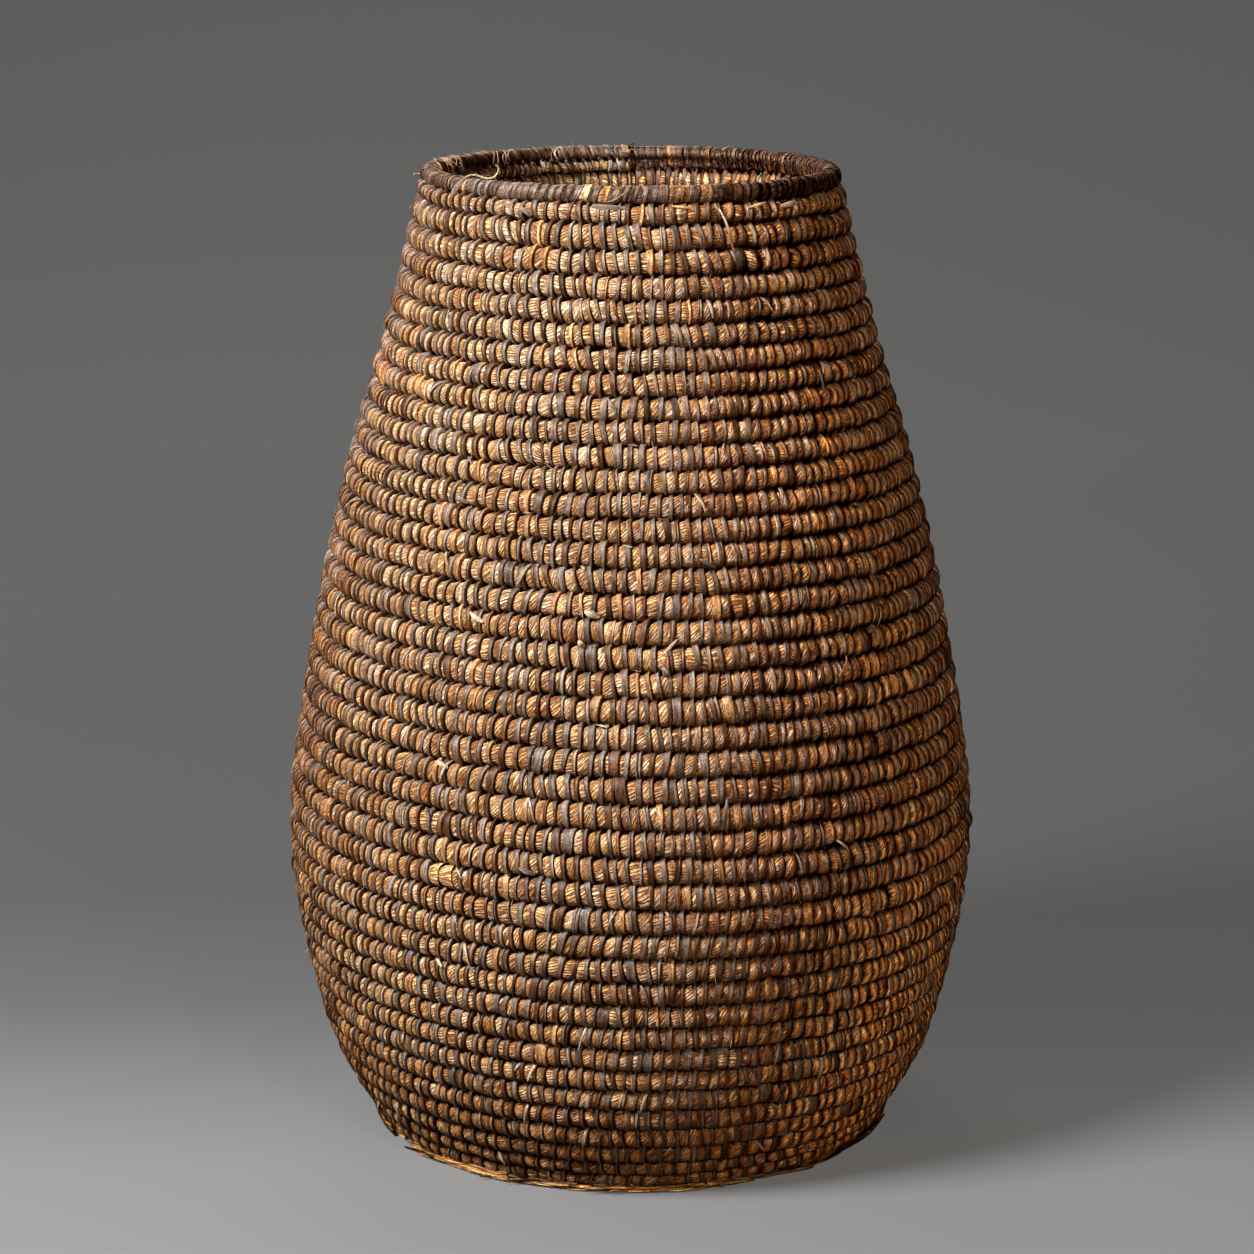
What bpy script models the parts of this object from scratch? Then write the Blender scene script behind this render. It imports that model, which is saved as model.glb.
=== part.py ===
"""Coiled urn basket: one straw bundle wound from the middle of the base up to the mouth.

The bundle climbs clockwise, seen from above. It is cut once in each turn, in a line up the
back, so that every round is a solid of its own. Each round lies on the joint that the round
below it leaves, and meets the next round end to end.
"""
import math

import bpy
import numpy as np

# Outline of the wall, measured over the crests of the coil, in metres
HEIGHT = 0.480
BELLY_HEIGHT = 0.1474
BELLY_RADIUS = 0.1704
FOOT_RADIUS = 0.1274
MOUTH_RADIUS = 0.1003

# Height and spread from the foot line to the belly, then from the belly to the mouth
LOWER_WALL_SHARES = ((0.0, 0.0), (0.23, 0.46), (0.50, 0.755), (0.76, 0.93), (1.0, 1.0))
UPPER_WALL_SHARES = ((0.16, 0.935), (0.34, 0.785), (0.55, 0.565), (0.76, 0.275), (1.0, 0.0))

# The coil
WALL_ROUNDS = 42
COIL_DEPTH = 0.0115
RIM_DEPTH = 0.0085
ROUND_GAP = 0.0003

# The round that the basket stands on, its straw worn flat and splayed
FOOT_LINE = 0.0017
FOOT_SPLAY = 0.0040
FOOT_EDGE = 0.0007

# The flat spiral of the base
BASE_ROUNDS = 10
BASE_DEPTH = 0.0085
BASE_LIFT = 0.0008
KNOT_RADIUS = 0.0070
KNOT_EDGE_SHARES = (0.25, 0.75)

# How far the rounds tip down towards the right, at most
TIP = 0.0044
TIP_SHARES = ((0.0, 0.0), (0.08, 0.75), (0.25, 1.0), (0.40, 0.72), (0.55, 0.40), (0.77, 0.0), (1.0, 0.0))

# Thickness of the coil from the foot to the mouth, against its mean
THICKNESS_SHARES = ((0.0, 0.90), (0.15, 1.0), (0.35, 1.08), (0.50, 1.06), (0.70, 0.98), (1.0, 0.94))

# Start and tail of the coil, in rounds, and how the rounds near them give and take
START_SHARE = 0.5
TAIL_SHARE = 0.5
FIRST_ROUND_SHARES = (0.0, -0.40, -0.30, -0.15, -0.05, 0.0)
LAST_ROUND_SHARES = (0.0, 0.03, 0.10, 0.25, -0.22)

# Corners of a section: depth from the crest inward, and height from the joint below
COIL_SECTION_SHARES = ((0.0, 0.5), (0.25, 1.0), (0.75, 1.0), (1.0, 0.5), (0.75, 0.0), (0.25, 0.0))

# Facets round one turn, and round the small turns in the middle of the base
STATIONS = 24
SMALL_TURN_STATIONS = 12
SMALL_TURN_SHARE = 0.8
CURVE_STEPS = 480
SHARP_DEGREES = 65

# Colours, roughness
BUNDLE_LOW_COLOUR = (0.235, 0.135, 0.070)
BUNDLE_HIGH_COLOUR = (0.420, 0.270, 0.140)
SPLINT_COLOUR = (0.130, 0.085, 0.055)
BARE_STRAW_COLOUR = (0.560, 0.380, 0.160)
STRAW_ROUGHNESS = 0.62


def clear_scene():
    for item in list(bpy.data.objects):
        bpy.data.objects.remove(item, do_unlink=True)


def smooth_curve(places, values):
    """Natural cubic through the points, as a function of place."""
    places = np.array(places)
    values = np.array(values)
    steps = np.diff(places)
    slopes = np.diff(values) / steps
    count = len(places)
    system = np.eye(count)
    right = np.zeros(count)
    for i in range(1, count - 1):
        system[i, i - 1:i + 2] = steps[i - 1], 2 * (steps[i - 1] + steps[i]), steps[i]
        right[i] = 6 * (slopes[i] - slopes[i - 1])
    bends = np.linalg.solve(system, right)

    def curve(place):
        i = np.clip(np.searchsorted(places, place) - 1, 0, count - 2)
        before = (places[i + 1] - place) / steps[i]
        after = (place - places[i]) / steps[i]
        bow = (before ** 3 - before) * bends[i] + (after ** 3 - after) * bends[i + 1]
        return before * values[i] + after * values[i + 1] + bow * steps[i] ** 2 / 6

    return curve


def wall_outline():
    """Heights, radii and running length of the outline from the foot line to the mouth."""
    rise = BELLY_HEIGHT - FOOT_LINE
    heights = [FOOT_LINE + up * rise for up, _ in LOWER_WALL_SHARES]
    radii = [FOOT_RADIUS + out * (BELLY_RADIUS - FOOT_RADIUS) for _, out in LOWER_WALL_SHARES]
    heights += [BELLY_HEIGHT + up * (HEIGHT - BELLY_HEIGHT) for up, _ in UPPER_WALL_SHARES]
    radii += [MOUTH_RADIUS + out * (BELLY_RADIUS - MOUTH_RADIUS) for _, out in UPPER_WALL_SHARES]
    fine_heights = np.linspace(FOOT_LINE, HEIGHT, CURVE_STEPS)
    fine_radii = smooth_curve(heights, radii)(fine_heights)
    lengths = np.hypot(np.diff(fine_heights), np.diff(fine_radii))
    return fine_heights, fine_radii, np.concatenate(([0.0], np.cumsum(lengths)))


OUTLINE_HEIGHTS, OUTLINE_RADII, OUTLINE_LENGTHS = wall_outline()
WALL_LENGTH = OUTLINE_LENGTHS[-1]
RADIUS_SLOPES = np.gradient(OUTLINE_RADII, OUTLINE_LENGTHS)
HEIGHT_SLOPES = np.gradient(OUTLINE_HEIGHTS, OUTLINE_LENGTHS)


def wall_point(length, depth):
    """Radius and height at a running length up the wall, and a depth in from its crests."""
    radius = np.interp(length, OUTLINE_LENGTHS, OUTLINE_RADII)
    height = np.interp(length, OUTLINE_LENGTHS, OUTLINE_HEIGHTS)
    radius_slope = np.interp(length, OUTLINE_LENGTHS, RADIUS_SLOPES)
    height_slope = np.interp(length, OUTLINE_LENGTHS, HEIGHT_SLOPES)
    return radius - depth * height_slope, height + depth * radius_slope


def table(rows, place):
    return np.interp(place, [row[0] for row in rows], [row[1] for row in rows])


def coil_count(turns):
    """Rounds of full thickness below the joint that lies so many turns along the coil."""
    last = WALL_ROUNDS + 1
    knots = list(range(1, len(FIRST_ROUND_SHARES) + 1))
    knots += list(range(last - len(LAST_ROUND_SHARES) + 1, last + 1))
    shifts = FIRST_ROUND_SHARES + LAST_ROUND_SHARES
    return turns - START_SHARE + np.interp(turns, knots, shifts)


def thickness_sums():
    """Running sum of the thickness table over the rounds, scaled to the wall's length."""
    counts = np.linspace(0.0, coil_count(WALL_ROUNDS + 1) + TAIL_SHARE, CURVE_STEPS)
    shares = table(THICKNESS_SHARES, counts / counts[-1])
    sums = np.concatenate(([0.0], np.cumsum((shares[1:] + shares[:-1]) / 2)))
    return counts, sums / sums[-1] * WALL_LENGTH


COUNTS, COUNT_LENGTHS = thickness_sums()


def joint_length(round_number, fraction):
    """Running length up the wall of the joint on top of a round, a fraction of its turn along."""
    if round_number < 1:
        return 0.0
    if round_number > WALL_ROUNDS:
        return WALL_LENGTH
    length = np.interp(coil_count(round_number + fraction), COUNTS, COUNT_LENGTHS)
    return length - TIP * table(TIP_SHARES, length / WALL_LENGTH) * math.sin(math.tau * fraction)


def base_joint(round_number, fraction):
    """Radius of the joint round the outside of a base round; round 0 is the knot."""
    edge = foot_inner_radius() - ROUND_GAP / 2
    if round_number >= BASE_ROUNDS:
        return edge
    pitch = (edge - KNOT_RADIUS) / (BASE_ROUNDS + TAIL_SHARE)
    return KNOT_RADIUS + pitch * (round_number + fraction)


def foot_inner_radius():
    return wall_point(0.0, COIL_DEPTH)[0]


def turn_fractions(stations):
    return [i / stations for i in range(stations + 1)]


def place_point(radius, height, fraction):
    """World point; the two ends of a turn stand back from the cut by half the gap."""
    angle = math.tau * fraction
    x, y = radius * math.sin(angle), radius * math.cos(angle)
    if fraction == 0:
        x = ROUND_GAP / 2
    if fraction == 1:
        x = -ROUND_GAP / 2
    return x, y, height


def make_solid(name, rings, colour):
    """Skin the rings of one turn into a closed body with a cap at each end."""
    corners = len(rings[0])
    points = [point for ring in rings for point in ring]
    faces = []
    for i in range(len(rings) - 1):
        for j in range(corners):
            k = (j + 1) % corners
            faces.append((i * corners + j, i * corners + k, (i + 1) * corners + k, (i + 1) * corners + j))
    faces.append(tuple(reversed(range(corners))))
    faces.append(tuple(range(len(points) - corners, len(points))))
    return add_object(name, points, faces, colour)


def add_object(name, points, faces, colour):
    mesh = bpy.data.meshes.new(name)
    mesh.from_pydata(points, [], faces)
    mesh.validate()
    mesh.shade_smooth()
    mesh.set_sharp_from_angle(angle=math.radians(SHARP_DEGREES))
    solid = bpy.data.objects.new(name, mesh)
    bpy.context.collection.objects.link(solid)
    mesh.materials.append(straw_material(name + "_finish", colour))
    return solid


def straw_material(name, colour):
    material = bpy.data.materials.new(name)
    material.use_nodes = True
    shader = material.node_tree.nodes["Principled BSDF"]
    shader.inputs["Base Color"].default_value = (*colour, 1.0)
    shader.inputs["Roughness"].default_value = STRAW_ROUGHNESS
    shader.inputs["Metallic"].default_value = 0.0
    return material


def mixed_colour(low, high, share):
    return tuple(a + (b - a) * share for a, b in zip(low, high))


def coil_round(name, round_number, depth, colour):
    """One turn of the wall's coil, seated on the joint below it."""
    rings = []
    for fraction in turn_fractions(STATIONS):
        low = joint_length(round_number - 1, fraction) + ROUND_GAP / 2
        high = joint_length(round_number, fraction)
        if round_number <= WALL_ROUNDS:
            high -= ROUND_GAP / 2
        ring = []
        for inward, up in COIL_SECTION_SHARES:
            radius, height = wall_point(low + (high - low) * up, depth * inward)
            ring.append(place_point(radius, height, fraction))
        rings.append(ring)
    return make_solid(name, rings, colour)


def build_wall():
    for number in range(1, WALL_ROUNDS + 1):
        colour = mixed_colour(BUNDLE_LOW_COLOUR, BUNDLE_HIGH_COLOUR, number / WALL_ROUNDS)
        coil_round(f"wall_round_{number:02d}", number, COIL_DEPTH, colour)


def build_rim():
    coil_round("rim_round", WALL_ROUNDS + 1, RIM_DEPTH, SPLINT_COLOUR)


def build_foot():
    """The worn outermost round of the base: flat below, its top cut to the first joint."""
    top_radius, top_height = wall_point(0.0, 0.0)
    inner_radius, inner_height = wall_point(0.0, COIL_DEPTH)
    splayed = FOOT_RADIUS + FOOT_SPLAY
    section = (
        (splayed, FOOT_EDGE),
        (top_radius, top_height - ROUND_GAP / 2),
        (inner_radius, inner_height - ROUND_GAP / 2),
        (inner_radius, 0.0),
        (splayed - FOOT_EDGE, 0.0),
    )
    rings = []
    for fraction in turn_fractions(STATIONS):
        rings.append([place_point(radius, height, fraction) for radius, height in section])
    make_solid("foot_round", rings, BARE_STRAW_COLOUR)


def base_stations(round_number):
    small = base_joint(round_number, 1) < SMALL_TURN_SHARE * foot_inner_radius()
    return SMALL_TURN_STATIONS if small else STATIONS


def build_base():
    """The flat spiral, each round lying against the round inside it."""
    for number in range(1, BASE_ROUNDS + 1):
        rings = []
        for fraction in turn_fractions(base_stations(number)):
            inner = base_joint(number - 1, fraction) + ROUND_GAP / 2
            outer = base_joint(number, fraction) - ROUND_GAP / 2
            ring = []
            for down, out in COIL_SECTION_SHARES:
                height = BASE_LIFT + BASE_DEPTH * down
                ring.append(place_point(inner + (outer - inner) * out, height, fraction))
            rings.append(ring)
        make_solid(f"base_round_{number:02d}", rings, BUNDLE_LOW_COLOUR)


def build_knot():
    """The first tight curl: a snail-shaped button with a step where the first round begins."""
    outline = [(base_joint(0, fraction) - ROUND_GAP / 2, fraction)
               for fraction in turn_fractions(SMALL_TURN_STATIONS)]
    outline.append((outline[0][0], 1))
    count = len(outline)
    levels = [BASE_LIFT + BASE_DEPTH * up for up in KNOT_EDGE_SHARES]
    points = [place_point(radius, level, fraction) for level in levels for radius, fraction in outline]
    points += [(0.0, 0.0, BASE_LIFT), (0.0, 0.0, BASE_LIFT + BASE_DEPTH)]
    faces = []
    for i in range(count):
        j = (i + 1) % count
        faces.append((j, i, count + i, count + j))
        faces.append((i, j, 2 * count))
        faces.append((count + j, count + i, 2 * count + 1))
    add_object("base_knot", points, faces, BUNDLE_LOW_COLOUR)


clear_scene()
build_knot()
build_base()
build_foot()
build_wall()
build_rim()
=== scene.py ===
"""Looks of the coiled urn basket: straw, sewing splints, wrapped rim, worn foot and loose ends.

Every visible stitch is built as its own patch of mesh on the same coil that the CAD rounds follow.
"""
import math

import bpy
import numpy as np
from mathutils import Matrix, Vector


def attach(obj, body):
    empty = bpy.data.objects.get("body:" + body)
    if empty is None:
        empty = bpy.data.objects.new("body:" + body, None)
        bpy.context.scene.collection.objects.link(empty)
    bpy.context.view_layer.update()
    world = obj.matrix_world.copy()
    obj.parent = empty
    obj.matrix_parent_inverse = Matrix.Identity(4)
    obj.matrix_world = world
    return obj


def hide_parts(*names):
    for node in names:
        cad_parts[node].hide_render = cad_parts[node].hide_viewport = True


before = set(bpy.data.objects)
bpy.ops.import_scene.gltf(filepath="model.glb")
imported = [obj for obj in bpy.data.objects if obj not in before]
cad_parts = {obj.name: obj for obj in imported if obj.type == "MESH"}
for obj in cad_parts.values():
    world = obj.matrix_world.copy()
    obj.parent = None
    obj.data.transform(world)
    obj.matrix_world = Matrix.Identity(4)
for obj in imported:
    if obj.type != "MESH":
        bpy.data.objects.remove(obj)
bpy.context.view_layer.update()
TAU = math.tau

# Outline of the wall and the lie of the coil, the same named values as the part's source, in metres
HEIGHT = 0.480
BELLY_HEIGHT = 0.1474
BELLY_RADIUS = 0.1704
FOOT_RADIUS = 0.1274
MOUTH_RADIUS = 0.1003
LOWER_WALL_SHARES = ((0.0, 0.0), (0.23, 0.46), (0.50, 0.755), (0.76, 0.93), (1.0, 1.0))
UPPER_WALL_SHARES = ((0.16, 0.935), (0.34, 0.785), (0.55, 0.565), (0.76, 0.275), (1.0, 0.0))
WALL_ROUNDS = 42
COIL_DEPTH = 0.0115
RIM_DEPTH = 0.0085
ROUND_GAP = 0.0003
FOOT_LINE = 0.0017
BASE_ROUNDS = 10
BASE_DEPTH = 0.0085
BASE_LIFT = 0.0008
KNOT_RADIUS = 0.0070
TIP = 0.0044
TIP_SHARES = ((0.0, 0.0), (0.08, 0.75), (0.25, 1.0), (0.40, 0.72), (0.55, 0.40), (0.77, 0.0), (1.0, 0.0))
THICKNESS_SHARES = ((0.0, 0.90), (0.15, 1.0), (0.35, 1.08), (0.50, 1.06), (0.70, 0.98), (1.0, 0.94))
START_SHARE = 0.5
TAIL_SHARE = 0.5
FIRST_ROUND_SHARES = (0.0, -0.40, -0.30, -0.15, -0.05, 0.0)
LAST_ROUND_SHARES = (0.0, 0.03, 0.10, 0.25, -0.22)
CURVE_STEPS = 480

# Turns along the coil at which the rim's round starts and ends
RIM_START = WALL_ROUNDS + 1
RIM_END = RIM_START + 1

# Stitches, in metres: spacing along the coil, then how far their parts rise, sink, overlap and sway
STITCH_PITCH = 0.00565
RIM_PITCH = 0.0026
GROOVE = 0.00035
PAD_SWELL = 0.00070
PAD_UNDERLAP = 0.0006
PAD_SINK = 0.0024
CREASE = 0.00130
BARE_SINK = 0.0026
BARE_OVERLAP = 0.0004
SPLINT_RISE = 0.00100
SPLINT_SPRING = 0.0008
SPLINT_EDGE_LIFT = 0.0002
SPLINT_EDGE_SINK = CREASE * 1.1
SWAY = 0.0004
RIM_SPLIT_DEPTH = 0.0016

# Share of a stitch that its splint covers, and the power that makes the coil's section a little square
SPLINT_SHARE = 0.50
SECTION_POWER = 2.25

# Widths of the stitches against the spacing, by turns past the start of the wall or the rim
WALL_WIDTH_SHARES = ((0.0, 1.40), (2.0, 1.30), (5.0, 1.0))
RIM_WIDTH_SHARES = ((0.0, 1.3), (0.15, 1.1), (0.25, 0.7), (0.38, 0.8), (0.46, 2.1), (0.56, 1.9),
                    (0.64, 0.9), (0.85, 0.9), (1.0, 1.3))

# Unevenness of the joints between the rounds: size, waves in a turn and shift of each wave
WOBBLE = 0.00026
WOBBLE_TURNS = (5.3, 11.7, 19.1, 27.9, 38.3, 51.9)
WOBBLE_SHIFT = 2.4

# Kinds of stitch by a random share: double below the first, then wide, then thin, and plain above the last
DOUBLE_BELOW = 0.09
WIDE_BELOW = 0.13
THIN_BELOW = 0.15

# Places across a pad, called s, from 0 at its left, and across a splint, called w, with its painted shading
PAD_COLUMNS = np.array([0.0, 0.10, 0.20, 0.34, 0.60, 0.84, 1.0])
SPLINT_COLUMNS = np.array([-1.0, -0.92, -0.50, 0.05, 0.45, 0.80, 0.93, 1.0])
SPLINT_COLUMN_SHADING = (0.45, 0.80, 0.82, 0.92, 1.22, 1.40, 0.70, 0.04)
INNER_COLUMNS = np.array([-1.0, -0.85, 0.85, 1.0])

# Places round the section of the coil, in degrees from outside
PAD_ANGLES = np.radians([-120, -98, -80, -60, -40, -20, 0, 20, 40, 60, 80, 98, 120])
SPLINT_ANGLES = np.radians([-124, -104, -86, -66, -45, -22, 0, 22, 45, 66, 86, 104, 124])
INNER_ANGLES = np.radians([-120, -85, -50, -16, 16, 50, 85, 120])
RIM_ANGLES = np.radians(np.linspace(-180, 180, 31))

# Rounds at which the wall is cut into meshes
GROUP_STARTS = (1, 5, 9, 13, 17, 21, 25, 29, 33, 38, RIM_START)

# Height below which surfaces are eased off the floor, and what stays free under them
FLOOR_EASE = 0.0006
FLOOR_CLEAR = 0.0001

# Free edge of each patch in its cell of the bake map, across and up
CELL_MARGINS = (0.06, 0.03)

# Colours, linear
TAN = (0.79, 0.530, 0.275)
GOLD = (0.74, 0.415, 0.160)
ORANGE = (0.56, 0.238, 0.064)
BROWN = (0.34, 0.136, 0.038)
CREAM = (0.88, 0.67, 0.45)
UMBER = (0.066, 0.027, 0.010)
GREY_BROWN = (0.120, 0.067, 0.042)
COOL_GREY = (0.182, 0.127, 0.093)
RED_BROWN = (0.145, 0.061, 0.024)
# Pale streaks painted along the splints as their sheen
SHEEN_STREAK = (0.58, 0.48, 0.38)
PLUM_BROWN = (0.104, 0.062, 0.045)
PALE_TAIL = (0.52, 0.36, 0.22)
RAW_STRAW = (0.98, 0.61, 0.27)
BARE_STRAW = (0.74, 0.40, 0.10)
RIM_OCHRE = (0.31, 0.160, 0.062)
RIM_TAN = (0.48, 0.26, 0.10)
# Near black of the coil's middle, painted as the shade deep in the grooves
CORE_SHADE = (0.0099, 0.00405, 0.0015)

# Painted shade tints of the side that the key light doesn't reach, and painted light at the lower right
SUNLESS_TINT = (0.96, 0.66, 0.34)
SUNLESS_SPLINT_TINT = (1.06, 0.84, 0.62)
LOWER_RIGHT_PAINTED_LIGHT = (0.80, 1.00, 1.10)
# Powers by which red, green and blue darken and lighten under painted shade and light, and with the tone
SHADE_AND_SPOT_POWERS = (0.88, 1.30, 1.70)
LIGHT_POWERS = (1.0, 1.1, 1.2)
SHADE_POWERS = (0.88, 1.26, 1.70)

# Where painted light and shade set in and are full, from -1 at the left edge of the basket to 1 at the right
RIGHT_SIDE = (0.04, 0.66)
LEFT_SIDE = (-0.15, -0.75)
FAR_RIGHT = (0.36, 0.68)
DEEP_RIGHT = (0.20, 0.66)
LOWER_RIGHT = (0.10, 0.85)
SUNNY_SIDE = (0.35, -0.45)
PAINTED_HIGHLIGHT_SIDE = (0.55, -0.45)

# Where painted shade sets in and is full round the section of the coil, in degrees from outside
GROOVE_ABOVE = (62, 92)
GROOVE_BELOW = (50, 86)
BESIDE_ABOVE = (45, 70)
BESIDE_BELOW = (22, 51)

# Pale wraps of the rim: turns past its start at both edges, and colour
RIM_PATCHES = (
    (0.5268, 0.5360, TAN),
    (0.5184, 0.5245, ORANGE),
    (0.4563, 0.4686, RIM_OCHRE),
    (0.4388, 0.4429, RIM_TAN),
    (0.6400, 0.6440, RIM_OCHRE),
)

# The front of the rim and its darker stretch: middle by turns past its start, and reach either way
RIM_FRONT = (0.52, 0.09)
RIM_DARK = (0.27, 0.10)

# Scales of the straw and splint patterns, across and along the strands, in waves a metre
STEM_SCALE = (820.0, 70.0)
STEM_FIBRE_SCALE = (3800.0, 260.0)
BARK_SCALE = (1100.0, 90.0)
BLOTCH_SCALE = (420.0, 160.0)
SHEEN_STREAK_SCALE = (760.0, 45.0)
GRAIN_SCALE = (1150.0, 1150.0)

# Random draws of each part start from this seed and the part's own number
SEED = 7


def table(rows, place):
    """Value at a place in rows of places and values, evenly between them."""
    return np.interp(place, [row[0] for row in rows], [row[1] for row in rows])


def smooth_step(low, high, value):
    """Share from 0 at low to 1 at high, with eased ends."""
    share = np.clip((value - low) / (high - low), 0.0, 1.0)
    return share * share * (3 - 2 * share)


def angle_step(low, high, around):
    """Smooth step between two angles in degrees."""
    return smooth_step(math.radians(low), math.radians(high), around)


def mix(first, second, share):
    """Colours or points between two others."""
    share = np.asarray(share)[..., None]
    return np.asarray(first) * (1 - share) + np.asarray(second) * share


def each(values):
    """One value for each patch, shaped to meet its rows and columns."""
    return values[:, None, None]


def unit(vectors):
    return vectors / np.linalg.norm(vectors, axis=-1, keepdims=True)


def signed_power(value, power):
    return np.sign(value) * np.abs(value) ** power


def drift(rng, count, window):
    """Slowly changing random values along the coil, spread about 1 either way."""
    raw = rng.standard_normal(count + 2 * window)
    kernel = np.hanning(window + 2)[1:-1]
    kernel /= math.sqrt((kernel ** 2).sum())
    return np.convolve(raw, kernel, "same")[window:window + count]


def smooth_curve(places, values):
    """Natural cubic through the points, as a function of place."""
    places = np.array(places)
    values = np.array(values)
    steps = np.diff(places)
    slopes = np.diff(values) / steps
    count = len(places)
    system = np.eye(count)
    right = np.zeros(count)
    for i in range(1, count - 1):
        system[i, i - 1:i + 2] = steps[i - 1], 2 * (steps[i - 1] + steps[i]), steps[i]
        right[i] = 6 * (slopes[i] - slopes[i - 1])
    bends = np.linalg.solve(system, right)

    def curve(place):
        i = np.clip(np.searchsorted(places, place) - 1, 0, count - 2)
        before = (places[i + 1] - place) / steps[i]
        after = (place - places[i]) / steps[i]
        bow = (before ** 3 - before) * bends[i] + (after ** 3 - after) * bends[i + 1]
        return before * values[i] + after * values[i + 1] + bow * steps[i] ** 2 / 6

    return curve


def wall_outline():
    """Heights, radii and running lengths of fine points up the outside of the wall."""
    rise = BELLY_HEIGHT - FOOT_LINE
    heights = [FOOT_LINE + up * rise for up, _ in LOWER_WALL_SHARES]
    radii = [FOOT_RADIUS + out * (BELLY_RADIUS - FOOT_RADIUS) for _, out in LOWER_WALL_SHARES]
    heights += [BELLY_HEIGHT + up * (HEIGHT - BELLY_HEIGHT) for up, _ in UPPER_WALL_SHARES]
    radii += [MOUTH_RADIUS + out * (BELLY_RADIUS - MOUTH_RADIUS) for _, out in UPPER_WALL_SHARES]
    fine_heights = np.linspace(FOOT_LINE, HEIGHT, CURVE_STEPS)
    fine_radii = smooth_curve(heights, radii)(fine_heights)
    lengths = np.hypot(np.diff(fine_heights), np.diff(fine_radii))
    return fine_heights, fine_radii, np.concatenate(([0.0], np.cumsum(lengths)))


OUTLINE_HEIGHTS, OUTLINE_RADII, OUTLINE_LENGTHS = wall_outline()
WALL_LENGTH = OUTLINE_LENGTHS[-1]
RADIUS_SLOPES = np.gradient(OUTLINE_RADII, OUTLINE_LENGTHS)
HEIGHT_SLOPES = np.gradient(OUTLINE_HEIGHTS, OUTLINE_LENGTHS)


def wall_frame(length, depth):
    """Radius and height so far inside the outline, and its slopes, by running length up the wall."""
    radius, height, along_radius, along_height = (
        np.interp(length, OUTLINE_LENGTHS, values)
        for values in (OUTLINE_RADII, OUTLINE_HEIGHTS, RADIUS_SLOPES, HEIGHT_SLOPES))
    return radius - depth * along_height, height + depth * along_radius, along_radius, along_height


def coil_count(turns):
    """Rounds that the coil has climbed after so many turns, as its first and last rounds are uneven."""
    knots = list(range(1, len(FIRST_ROUND_SHARES) + 1))
    knots += list(range(RIM_START - len(LAST_ROUND_SHARES) + 1, RIM_START + 1))
    shifts = FIRST_ROUND_SHARES + LAST_ROUND_SHARES
    return turns - START_SHARE + np.interp(turns, knots, shifts)


def thickness_sums():
    """Running length up the wall by rounds climbed, from the thickness that the coil has at each."""
    counts = np.linspace(0.0, coil_count(RIM_START) + TAIL_SHARE, CURVE_STEPS)
    shares = table(THICKNESS_SHARES, counts / counts[-1])
    sums = np.concatenate(([0.0], np.cumsum((shares[1:] + shares[:-1]) / 2)))
    return counts, sums / sums[-1] * WALL_LENGTH


COUNTS, COUNT_LENGTHS = thickness_sums()


def joint(turns):
    """Running length up the wall of the joint on top of the coil, so many turns along it."""
    turns = np.asarray(turns, float)
    length = np.interp(coil_count(turns), COUNTS, COUNT_LENGTHS)
    length = length - TIP * table(TIP_SHARES, length / WALL_LENGTH) * np.sin(TAU * turns)
    for i, rate in enumerate(WOBBLE_TURNS):
        length = length + WOBBLE / 2 * np.sin(TAU * rate * turns + WOBBLE_SHIFT * i * i)
    length = np.where(turns < 1, 0.0, length)
    return np.where(turns >= RIM_START, WALL_LENGTH, length)


class WallCoil:
    """Section frames of the coil in the wall and the rim, by turns along it."""

    least_height = 0.001

    def __init__(self, depth):
        self.half_depth = depth / 2

    def section(self, turns):
        low = joint(turns - 1)
        high = np.maximum(joint(turns), low + self.least_height)
        return *wall_frame((low + high) / 2, self.half_depth), (high - low) / 2


class BaseCoil:
    """Section frames of the flat spiral of the base; its outer side faces down."""

    half_depth = BASE_DEPTH / 2

    def joint(self, turns):
        edge = FOOT_RADIUS - COIL_DEPTH * HEIGHT_SLOPES[0] - ROUND_GAP / 2
        pitch = (edge - KNOT_RADIUS) / (BASE_ROUNDS + TAIL_SHARE)
        return np.minimum(KNOT_RADIUS + pitch * turns, edge)

    def section(self, turns):
        inner, outer = self.joint(turns - 1), self.joint(turns)
        radius = (inner + outer) / 2
        height = np.full_like(radius, BASE_LIFT + BASE_DEPTH / 2)
        return radius, height, np.ones_like(radius), np.zeros_like(radius), (outer - inner) / 2


def coil_points(coil, turns, around, lift, nudge=0.0):
    """World points: turns along the coil, angle round its section from outside, height over the straw."""
    radius, height, along_radius, along_height, half = coil.section(turns)
    up = signed_power(np.sin(around), 2 / SECTION_POWER) * (half - GROOVE + lift) + nudge
    out = signed_power(np.cos(around), 2 / SECTION_POWER) * (coil.half_depth + lift)
    r = radius + up * along_radius + out * along_height
    z = height + up * along_height - out * along_radius
    angle = TAU * turns
    return np.stack([r * np.sin(angle), r * np.cos(angle), z], axis=-1)


class Measured:
    """Running distance along the crest of a stretch of coil, and back to turns."""

    spare_turns = 0.01
    steps_a_turn = 100

    def __init__(self, coil, first, last):
        count = int((last - first) * self.steps_a_turn) + 2
        self.turns = np.linspace(first - self.spare_turns, last + self.spare_turns, count)
        radius = coil.section(self.turns)[0] + coil.half_depth
        steps = TAU * (radius[1:] + radius[:-1]) / 2 * np.diff(self.turns)
        self.distances = np.concatenate(([0.0], np.cumsum(steps)))
        self.distances -= np.interp(first, self.turns, self.distances)
        self.length = np.interp(last, self.turns, self.distances)

    def at(self, distance):
        return np.interp(distance, self.distances, self.turns)

    def distance(self, turns):
        return np.interp(turns, self.turns, self.distances)


def patch_grid(count, angles, columns):
    """Angles round the section and places across it, at the points of so many patches."""
    around = np.broadcast_to(angles[None, :, None], (count, len(angles), len(columns)))
    return around, columns[None, None, :]


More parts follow.
